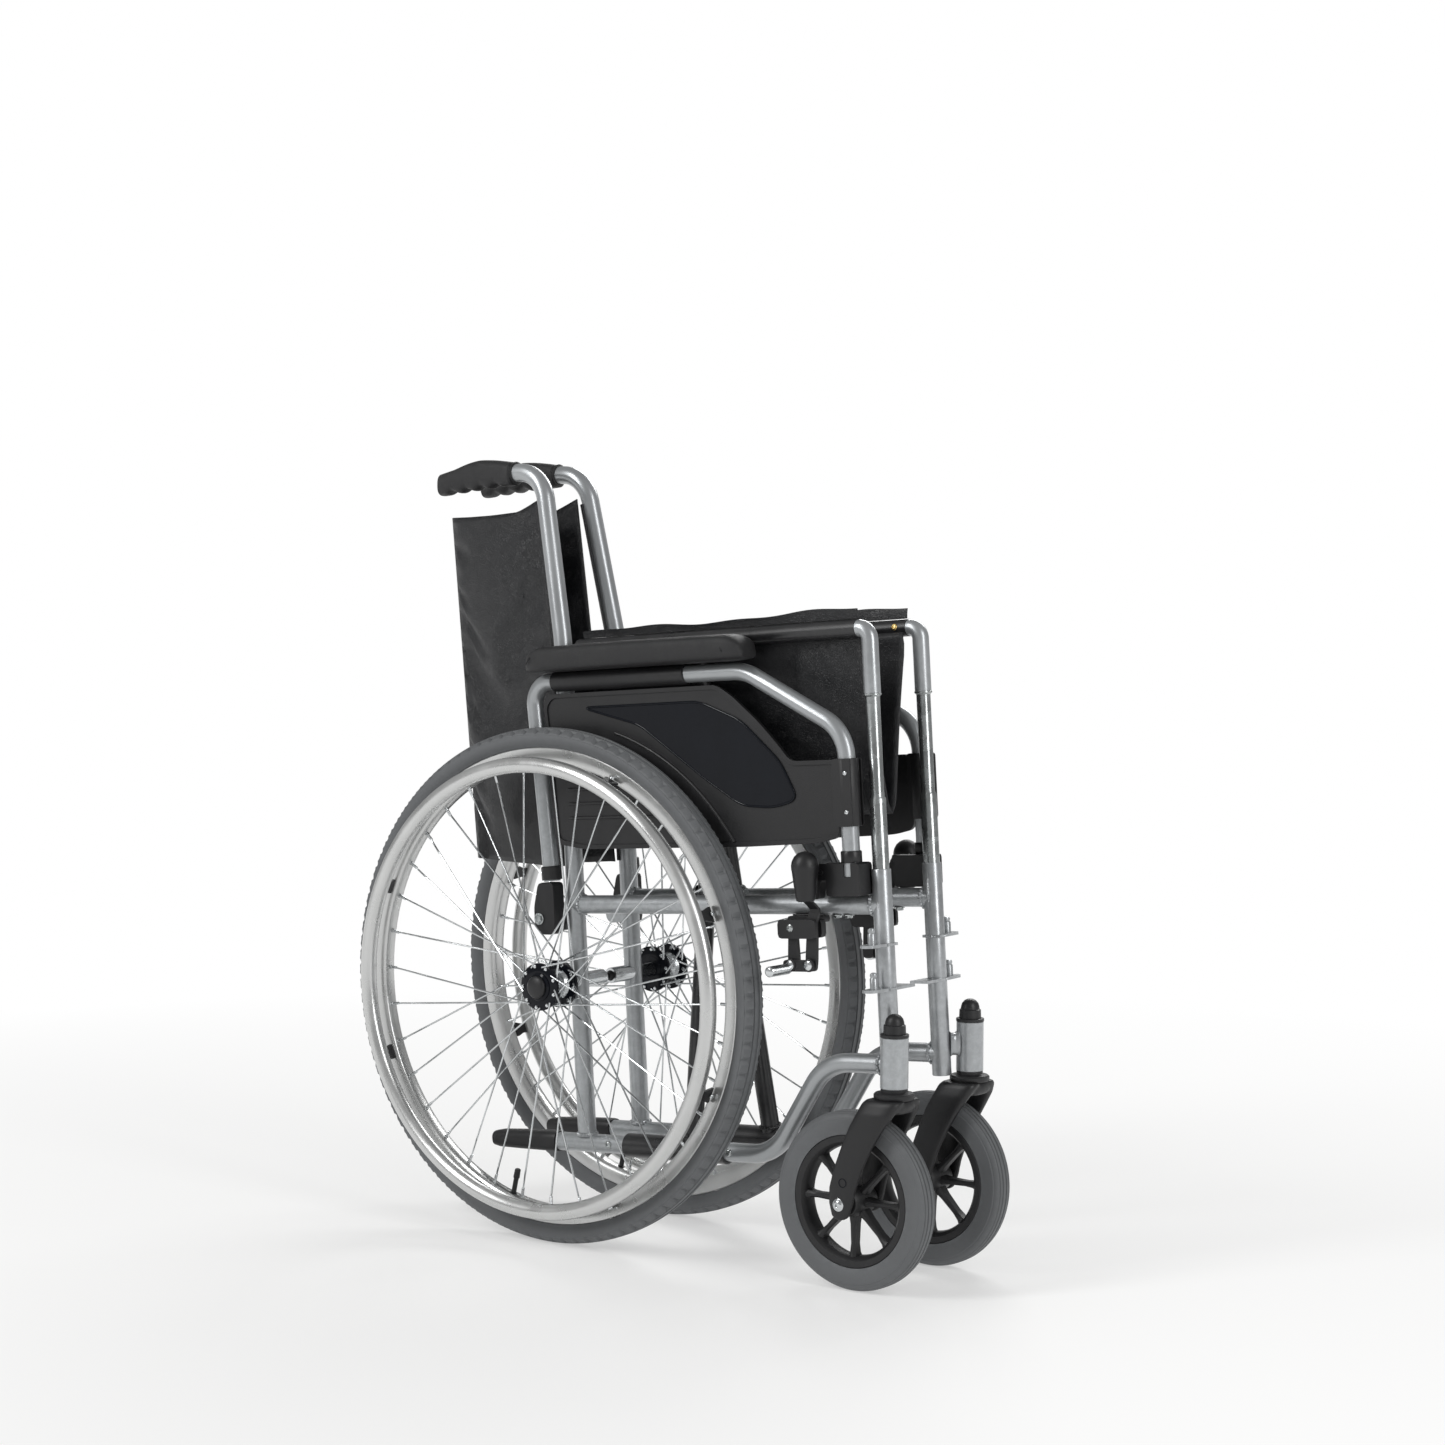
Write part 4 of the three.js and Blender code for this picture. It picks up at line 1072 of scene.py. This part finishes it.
INSERT = [[68, 630], [242, 630], [300, 606], [352, 558], [374, 515], [340, 507], [296, 510], [246, 541], [153, 607]]


def build_insert(shape):
    """Glossy insert let into the panel."""
    shape.plate(INSERT, ARM_Y - 1.4, ARM_Y - 3.0, 12)


def build_insert_edge(shape):
    """Raised bead round the insert."""
    points = outline(INSERT, 14, 8)
    shape.tube([at(s, ARM_Y - 2.4, n) for s, n in points], 1.5 * MM, 0, 10, loop=True)


def build_clip(shape):
    """Clip that holds the panel on the front leg, with two rivets."""
    y = ARM_Y
    jaw = [[429.5, 484], [453.5, 484], [453.5, 559], [429.5, 559]]
    shape.plate(jaw, y - 13, y - 10.2, 4)
    shape.plate(jaw, y + 10.2, y + 11.5, 4)
    shape.turn(at(441.5, y, 484), at(441.5, y, 559),
               [(0, 10.3), (0, 12.6), (1, 13.2), (74, 13.2), (75, 12.6), (75, 10.3)], 0, 36, loop=True)
    for n in (500, 543):
        shape.screw(at(447, y - 13, n), OUT, 2.6, 1, 1.5)


class WHEELCHAIR_OT_arms(Operator):
    """Builds the arm tubes, pads, side panels, sockets, catches and latches"""
    bl_idname = "wheelchair.arms"
    bl_label = "Arms"

    def execute(self, context):
        pair("arm_frame", build_arm_tube, [silver_paint(), black_plastic(), zinc_plate()], "armrest",
             "silver_paint", ["arm_tube"])
        for pad in pair("pad", build_pad, [soft_grip()], "armrest", "soft_grip", ["arm_pad"]):
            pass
        pair("pad_line", build_pad_seam, [soft_grip()], "armrest", "soft_grip")
        pair("panel", build_panel, [panel_plastic()], "armrest", "black_plastic", ["side_panel"], bevel=0.7)
        pair("panel_insert", build_insert, [gloss_insert()], "armrest", "black_plastic", bevel=0.6)
        pair("panel_bead", build_insert_edge, [gloss_insert()], "armrest", "black_plastic")
        pair("panel_clip", build_clip, [black_plastic(), bright_steel()], "armrest", "black_plastic", bevel=0.8)
        from_node("socket", "arm_socket", "armrest", bevel=1.4)
        from_node("catch", "arm_catch", "frame", bevel=1.2)
        from_node("latch", "arm_latch", "latch", bevel=1.2)
        return {"FINISHED"}


# ---- Brakes ---------------------------------------------------------------------------------------
LEVER, LINK = (384, 371), (359, 371)                        # upper pivots of the lever and the link
KNOB_Y = -101.5


def lower_pivot(pivot):
    """The pivot on the shoe bar below an upper pivot."""
    return pivot[0] - 3, pivot[1] - 41


def build_lever(shape):
    """Dog-leg flat lever and its knob."""
    s, n = LEVER
    low_s, low_n = lower_pivot(LEVER)
    y = ARM_Y
    shape.plate([[low_s - 6, low_n - 7], [low_s + 6, low_n - 7], [low_s + 8, low_n + 4], [s + 7, n - 8],
                 [s + 7, n + 6], [s + 12, 392], [s - 1, 392], [s - 7, n + 6], [s - 7, n - 8],
                 [low_s - 7, low_n + 6]], y + 2, y - 3, 4)
    path = [(s + 5.5, y - 0.5, 388), (s + 6, y - 2, 393), (s + 9, y - 13, 399), (s + 12, -97, 403),
            (s + 12, KNOB_Y, 410)]
    rings = []
    for ps, py, pn in path:
        rings.append([at(ps + a, py + b, pn) for a, b in ((-6, -2.4), (6, -2.4), (6, 2.4), (-6, 2.4))])
    shape.skin(rings)
    foot, tip = at(s + 12, KNOB_Y, 403), at(s + 14.3, KNOB_Y, 459)
    shape.turn(foot, tip, [(0, 8.6), (1, 10.2), (8, 11.6), (34, 14.9), (35, 15.3), (40, 15.6), (45, 14.6),
                           (50, 11.9), (53.5, 8), (55.4, 3.6), (55.8, 0.3)], 0, 40)


def build_link(shape):
    """Flat link between the housing and the shoe bar."""
    s, n = LINK
    low_s, low_n = lower_pivot(LINK)
    shape.plate([[low_s - 6, low_n - 7], [low_s + 6, low_n - 7], [low_s + 9, low_n + 6], [s + 5, n - 12],
                 [s + 7, n + 6], [s - 7, n + 6], [s - 7, n - 6], [low_s - 6, low_n + 8]], ARM_Y + 2, ARM_Y - 3, 4)


def build_shoe(shape):
    """Bar with its rivets and the knurled peg that presses the tyre."""
    (s0, n0), (s1, n1) = lower_pivot(LINK), lower_pivot(LEVER)
    y = ARM_Y
    shape.plate([[s0 - 10, n0 - 7], [s1 + 6, n1 - 7], [s1 + 6, n1 + 6], [s0 - 10, n0 + 6]], y - 3.3, y - 7, 5, 1)
    for s, n in ((s0, n0), (s1, n1)):
        shape.turn(at(s, y - 7, n), at(s, y - 20, n), [(-1, 7.4), (0.8, 7.2), (1.2, 6.2)], 1, 28)
        shape.turn(at(s, y - 8.0, n), at(s, y - 20, n), [(0, 5.4), (0.6, 5.3), (1.0, 4.6)], 0, 28)
    ridges = [(0, 5.2)] + [(1.5 + k * 1.4, 6.0 if k % 2 else 5.3) for k in range(26)] + [(38, 5.2), (38.6, 4.2)]
    shape.turn(at(s0 - 4, y - 5, n0 - 4), at(s0 - 4, y - 45, n0 - 4), ridges, 0, 32)


def build_housing_details(shape):
    """Ribs on the clamp, the socket screw and the two nuts under the rail."""
    for k in range(3):
        n = 384.6 - 2.6 * k
        shape.tube([at(346, -57, n), at(388, -57, n)], 1.0 * MM, 0, 8)
    shape.screw(at(359, ARM_Y - 9, 372), OUT, 4.6, 1, 1.6)
    for s in (403, 418):
        shape.bolt(at(s, SIDE_Y, 384.6), -POST, 4.6, 1, 3.4)


class WHEELCHAIR_OT_brakes(Operator):
    """Builds the wheel brakes: housings, levers with knobs, links and shoe bars"""
    bl_idname = "wheelchair.brakes"
    bl_label = "Brakes"

    def execute(self, context):
        from_node("brake_case", "brake_housing", "frame", bevel=1.3)
        pair("brake_case_fittings", build_housing_details, [black_plastic(), zinc_plate()], "frame", "black_plastic")
        pair("brake_knob", build_lever, [black_plastic()], "brake_lever", "black_plastic", ["brake_lever"], bevel=0.6)
        pair("brake_bar", build_link, [black_plastic()], "brake_link", "black_plastic", ["brake_link"], bevel=0.6)
        pair("brake_peg", build_shoe, [bright_steel(), black_plastic()], "brake_shoe", "zinc", ["brake_shoe"])
        return {"FINISHED"}


# ---- Slings ---------------------------------------------------------------------------------------
def cloth_grid(name, place, across, along):
    """A sheet from place(u, v), where u runs across and v along it."""
    verts = [place(i / across, j / along) for j in range(along + 1) for i in range(across + 1)]
    row = across + 1
    faces = [[j * row + i, j * row + i + 1, (j + 1) * row + i + 1, (j + 1) * row + i]
             for j in range(along) for i in range(across)]
    mesh = bpy.data.meshes.new(name)
    mesh.from_pydata(verts, [], faces)
    mesh.shade_smooth()
    mesh.materials.append(grained_vinyl())
    obj = bpy.data.objects.new(name, mesh)
    bpy.context.scene.collection.objects.link(obj)
    return obj


def wrinkled(piece, held, swell, cap, frames=18):
    """Lets the cloth buckle between its held rows; no point moves more than cap mm."""
    scene = bpy.context.scene
    group = piece.vertex_groups.new(name="held")
    group.add(held, 1.0, "REPLACE")
    cloth = piece.modifiers.new("Cloth", "CLOTH")
    cloth.settings.vertex_group_mass = "held"
    cloth.settings.shrink_min = -swell
    cloth.settings.quality = 6
    cloth.settings.bending_stiffness = 2.0
    cloth.settings.effector_weights.gravity = 0.15
    cloth.point_cache.frame_end = frames + 1
    for number in range(1, frames + 1):
        scene.frame_set(number)
    evaluated = piece.evaluated_get(bpy.context.evaluated_depsgraph_get())
    moved = np.array([v.co for v in evaluated.data.vertices])
    rest = np.array([v.co for v in piece.data.vertices])
    shift = moved - rest
    size = np.linalg.norm(shift, axis=1, keepdims=True)
    shift *= np.minimum(1.0, cap * MM / np.maximum(size, 1e-9))
    piece.modifiers.remove(cloth)
    piece.data.vertices.foreach_set("co", (rest + shift).ravel())
    piece.data.update()
    scene.frame_set(1)


def thicken(piece):
    solid = piece.modifiers.new("Thickness", "SOLIDIFY")
    solid.thickness = bpy.context.scene.wheelchair_sizes.vinyl_thickness
    solid.offset = 0


def held_points(across, along):
    """The points of a sheet's two outer hems and of its crease."""
    columns = (0, 1, across // 2, across - 1, across)
    return [j * (across + 1) + c for j in range(along + 1) for c in columns]


SEAT_BACK_S, SEAT_LENGTH = 53, 396                          # the seat sling's rear edge, and its length, mm


def seat_place(u, v):
    """The folded seat: from the right rail down to the crease and up to the left rail."""
    s = SEAT_BACK_S + SEAT_LENGTH * v
    side = -1 if u < 0.5 else 1
    t = 1 - abs(2 * u - 1)
    deep = 697 - 203 * t + 7 * math.sin(math.pi * t) * math.sin(2.2 * math.pi * v + side)
    y = 37.5 * (1 - t) + 2.2
    y += 1.6 * math.sin(5 * math.pi * v + side * 0.8) * math.sin(math.pi * t) ** 2
    return at(s, side * y if t < 0.999 else 0, deep)


BACK_LOW = (level(-22, -43, 440), level(-208, 0, 437))
BACK_TOP = (level(-76, -33, 884), level(-252, 0, 862))


def back_place(u, v):
    """The folded back: from the right cane to the crease behind, and back to the left cane."""
    side = -1 if u < 0.5 else 1
    t = 1 - abs(2 * u - 1)
    low = BACK_LOW[0].lerp(BACK_LOW[1], t)
    top = BACK_TOP[0].lerp(BACK_TOP[1], t)
    point = low.lerp(top, v)
    dip = (2.5 * math.sin(math.pi * t) + 13 * min(1, t * 4.5) * (1 - t)) * max(0, v - 0.8) / 0.2
    point.z -= dip * MM
    bulge = 5.5 * math.sin(math.pi * t) + 2.2 * math.sin(3 * math.pi * v + 0.6) * math.sin(math.pi * t) ** 2
    y = abs(point.y) + bulge * MM * (0.55 + 0.45 * math.sin(math.pi * v))
    return Vector((point.x, side * y if t < 0.999 else 0, point.z))


def build_back_sleeve(shape):
    """The sling's hem wrapped round the cane."""
    path = rounded([at(BACK_S, SIDE_Y, 442), at(BACK_S, SIDE_Y, 712), level(-61.6, -41.9, 879)], [180], 12)
    n = len(path)
    k = 14
    rings = []
    for i, point in enumerate(path):
        a, b = path[max(0, i - 1)], path[min(n - 1, i + 1)]
        along = (b - a).normalized()
        back = Vector((-1, 0.22, 0))
        back = (back - along * back.dot(along)).normalized()
        side = along.cross(back)
        inner, outer = [], []
        for j in range(k + 1):
            t = math.radians(-35 + 95 * j / k)
            ray = back * math.cos(t) - side * math.sin(t)
            outer.append(point + ray * 13.4 * MM)
            inner.append(point + ray * 11.4 * MM)
        rings.append(outer + inner[::-1])
    shape.skin(rings)


def stitch_line(shape, points, mark=0, pitch=4.2, length=2.9, radius=0.45):
    """Short stitches along a line of points."""
    left = 0.0
    for a, b in zip(points, points[1:]):
        span = (b - a).length / MM
        place = left
        while place < span:
            start = a.lerp(b, place / span)
            end = a.lerp(b, min(1.0, (place + length) / span))
            if (end - start).length > 0.5 * MM:
                shape.tube([start, end], radius * MM, mark, 5)
            place += pitch
        left = place - span


def build_seat_edge(shape, y):
    """Folded hem standing on the seat rail."""
    side = 1 if y > 0 else -1
    k = 60
    rings = []
    for i in range(k + 1):
        v = i / k
        s = SEAT_BACK_S + SEAT_LENGTH * v
        wave = 1.8 * math.sin(9 * v) + 1.1 * math.sin(23 * v + 1)
        lift = 7 + 5 * v + wave
        fold = [(-4.5, 10.2), (-3.2, 10.4 + lift * 0.5), (-1.5, 10.4 + lift),
                (0.4, 10.4 + lift), (-1.0, 10.4 + lift * 0.5), (-1.4, 10.6)]
        rings.append([at(s, y + side * dy, SEAT_N + dn) for dy, dn in fold])
    shape.skin(rings)


class WHEELCHAIR_OT_seat_sling(Operator):
    """Builds the folded seat sling, its hems, stitching and screws"""
    bl_idname = "wheelchair.seat_sling"
    bl_label = "Seat sling"

    def execute(self, context):
        across, along = 56, 48
        seat = cloth_grid("seat_cloth", seat_place, across, along)
        wrinkled(seat, held_points(across, along), 0.02, 3.5)
        thicken(seat)
        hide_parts("right_seat_sling", "left_seat_sling")
        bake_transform(seat)
        for side, y, body in (("right", SIDE_Y, "left_cross"), ("left", -SIDE_Y, "right_cross")):
            hem = Shape()
            build_seat_edge(hem, y)
            made = hem.piece(f"{side}_seat_hem", [grained_vinyl()], body, "vinyl")
            seams = Shape()
            inward = -1 if y > 0 else 1
            for inset, rise in ((7.28, 12.5), (8.3, 16.5)):
                stitch_line(seams, [at(s, y + inward * inset, SEAT_N + rise) for s in (56, 250, 446)])
            seams.piece(f"{side}_seat_stitches", [thread()], body, "vinyl")
            heads = Shape()
            for s in (70, 165, 260, 350, 436):
                heads.screw(at(s, y + inward * 9.6, SEAT_N + 1.5), Vector((0, inward, 0.25)).normalized(), 4.0, 0, 1.8)
            heads.piece(f"{side}_seat_screws", [brass()], body, "zinc")
        return {"FINISHED"}


class WHEELCHAIR_OT_back_sling(Operator):
    """Builds the folded back sling with its sleeves and plain band"""
    bl_idname = "wheelchair.back_sling"
    bl_label = "Back sling"

    def execute(self, context):
        across, along = 60, 56
        back = cloth_grid("back_cloth", back_place, across, along)
        wrinkled(back, held_points(across, along), 0.025, 5.0)
        thicken(back)
        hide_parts("right_back_sling", "left_back_sling")
        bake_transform(back)
        for sleeve in pair("back_sleeve", build_back_sleeve, [grained_vinyl()], "frame", "vinyl"):
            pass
        band = Shape()
        rings = []
        for k in range(41):
            u = 0.12 + 0.76 * k / 40
            ring = []
            for v, out in ((0.735, 1.2), (0.735, 2.0), (0.84, 2.0), (0.84, 1.2)):
                point = back_place(u, v)
                ring.append(point + Vector((-0.6, (-1 if u < 0.5 else 1) * 1.0, 0)).normalized() * out * MM)
            rings.append(ring)
        band.skin(rings)
        for v in (0.748, 0.827):
            for half in (0, 1):
                line = [back_place(u, v) + Vector((-0.0012, (1 if half else -1) * 0.0022, 0))
                        for u in (half * 0.5 + 0.13 + 0.24 * k / 24 for k in range(25))]
                stitch_line(band, line, 1)
        made = band.piece("back_band", [grained_vinyl(), thread()], None, "vinyl")
        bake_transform(made)
        return {"FINISHED"}


# ---- Small fittings -------------------------------------------------------------------------------
def build_rail_screws(shape):
    """Screws through the lower rail and the bolt of the arm plate."""
    for s in (62, 241):
        shape.screw(at(s, SIDE_Y - 10.6, LOWER_N + 1), OUT, 4.6, 0, 2.6)
    shape.bolt(at(-8.4, SIDE_Y - 8.0, 381), OUT, 4.6, 0, 3.0)


class WHEELCHAIR_OT_fittings(Operator):
    """Builds the screws and bolts of the side frames"""
    bl_idname = "wheelchair.fittings"
    bl_label = "Fittings"

    def execute(self, context):
        pair("rail_screws", build_rail_screws, [zinc_plate()], "frame", "zinc")
        return {"FINISHED"}


# ---- Stage ----------------------------------------------------------------------------------------
def floor_material():
    """Pale floor with a painted glow: white emission makes up 42 percent of it near the middle and all of it from 2.2
    m out, so it fades to white away from the object.
    """
    material = bpy.data.materials.new("Pale floor")
    material.use_nodes = True
    t = Tree(material.node_tree)
    shader = material.node_tree.nodes["Principled BSDF"]
    shader.inputs["Base Color"].default_value = (0.93, 0.93, 0.92, 1)
    shader.inputs["Roughness"].default_value = 0.55
    shader.inputs["Specular IOR Level"].default_value = 0.25
    # painted glow: white emission mixed into the floor, more of it away from the object, lightening the floor and the
    # shadows on it
    painted_glow = t.node("ShaderNodeEmission")
    painted_glow.inputs["Strength"].default_value = 1.0
    mix = t.node("ShaderNodeMixShader")
    length = t.node("ShaderNodeVectorMath", operation="LENGTH")
    t.link(t.node("ShaderNodeTexCoord").outputs["Object"], length.inputs[0])
    t.link(t.ranged(length.outputs["Value"], 0.3, 2.2, 0.42, 1.0), mix.inputs["Fac"])
    t.link(shader.outputs[0], mix.inputs[1])
    t.link(painted_glow.outputs[0], mix.inputs[2])
    t.link(mix.outputs[0], material.node_tree.nodes["Material Output"].inputs["Surface"])
    return material


def area_light(name, place, size, power, target=(0, 0, 0.45)):
    light = bpy.data.lights.new(name, "AREA")
    light.shape = "RECTANGLE"
    light.size, light.size_y = size
    light.energy = power
    obj = bpy.data.objects.new(name, light)
    obj.location = place
    obj.rotation_euler = (Vector(target) - Vector(place)).to_track_quat("-Z", "Y").to_euler()
    bpy.context.scene.collection.objects.link(obj)


class WHEELCHAIR_OT_stage(Operator):
    """Builds the floor, soft lights and camera"""
    bl_idname = "wheelchair.stage"
    bl_label = "Stage"

    def execute(self, context):
        scene = context.scene
        mesh = bpy.data.meshes.new("floor")
        ring = [(30 * math.cos(2 * math.pi * k / 64), 30 * math.sin(2 * math.pi * k / 64), 0) for k in range(64)]
        mesh.from_pydata(ring, [], [list(range(64))])
        mesh.materials.append(floor_material())
        floor = bpy.data.objects.new("floor", mesh)
        scene.collection.objects.link(floor)
        world = bpy.data.worlds.new("Studio")
        world.use_nodes = True
        world.node_tree.nodes["Background"].inputs["Color"].default_value = (1, 1, 1, 1)
        studio = Tree(world.node_tree)
        seen = studio.node("ShaderNodeLightPath").outputs["Is Camera Ray"]
        studio.link(studio.ranged(seen, 0, 1, 0.34, 1.0), world.node_tree.nodes["Background"].inputs["Strength"])
        scene.world = world
        scene.view_settings.view_transform = "Standard"
        area_light("key", (-1.2, -2.6, 2.4), (0.7, 2.2), 55)
        area_light("fill", (2.8, -0.6, 1.6), (0.8, 1.8), 30)
        area_light("rim", (-0.6, 2.4, 2.2), (2.0, 0.8), 40)
        data = bpy.data.cameras.new("camera")
        data.lens = scene.wheelchair_sizes.lens
        data.sensor_width = 36
        data.clip_end = 100
        camera = bpy.data.objects.new("camera", data)
        scene.collection.objects.link(camera)
        yaw, pitch, roll = (math.radians(angle) for angle in (37.144, 90 - 2.516, 0.279))
        camera.matrix_world = (Matrix.Translation((2.0906, -2.6720, 0.7652)) @ Matrix.Rotation(yaw, 4, "Z")
                               @ Matrix.Rotation(pitch, 4, "X") @ Matrix.Rotation(roll, 4, "Z"))
        scene.camera = camera
        return {"FINISHED"}


# ---- Sidebar and registration ---------------------------------------------------------------------
OPERATORS = (WHEELCHAIR_OT_stage, WHEELCHAIR_OT_side_frames, WHEELCHAIR_OT_push_grips, WHEELCHAIR_OT_rear_wheels,
             WHEELCHAIR_OT_casters, WHEELCHAIR_OT_folding_cross, WHEELCHAIR_OT_arms, WHEELCHAIR_OT_brakes,
             WHEELCHAIR_OT_seat_sling, WHEELCHAIR_OT_back_sling, WHEELCHAIR_OT_fittings)


class WHEELCHAIR_PT_sidebar(Panel):
    """Lists the wheelchair's pieces"""
    bl_idname = "WHEELCHAIR_PT_sidebar"
    bl_label = "Folding wheelchair"
    bl_space_type = "VIEW_3D"
    bl_region_type = "UI"
    bl_category = "Wheelchair"

    def draw(self, context):
        for group in (context.scene.wheelchair_sizes, context.scene.wheelchair_colours):
            for key in group.bl_rna.properties.keys():
                if key not in ("rna_type", "name"):
                    self.layout.prop(group, key)
        for operator in OPERATORS:
            self.layout.operator(operator.bl_idname)


CLASSES = (WheelchairSizes, WheelchairColours, *OPERATORS, WHEELCHAIR_PT_sidebar)


def register():
    for cls in CLASSES:
        bpy.utils.register_class(cls)
    bpy.types.Scene.wheelchair_sizes = bpy.props.PointerProperty(type=WheelchairSizes)
    bpy.types.Scene.wheelchair_colours = bpy.props.PointerProperty(type=WheelchairColours)


def unregister():
    del bpy.types.Scene.wheelchair_colours
    del bpy.types.Scene.wheelchair_sizes
    for cls in reversed(CLASSES):
        bpy.utils.unregister_class(cls)


def main():
    register()
    for group in GROUPS:
        group()
    for operator in OPERATORS:
        getattr(bpy.ops.wheelchair, operator.bl_idname.split(".")[1])()


if __name__ == "__main__":
    main()
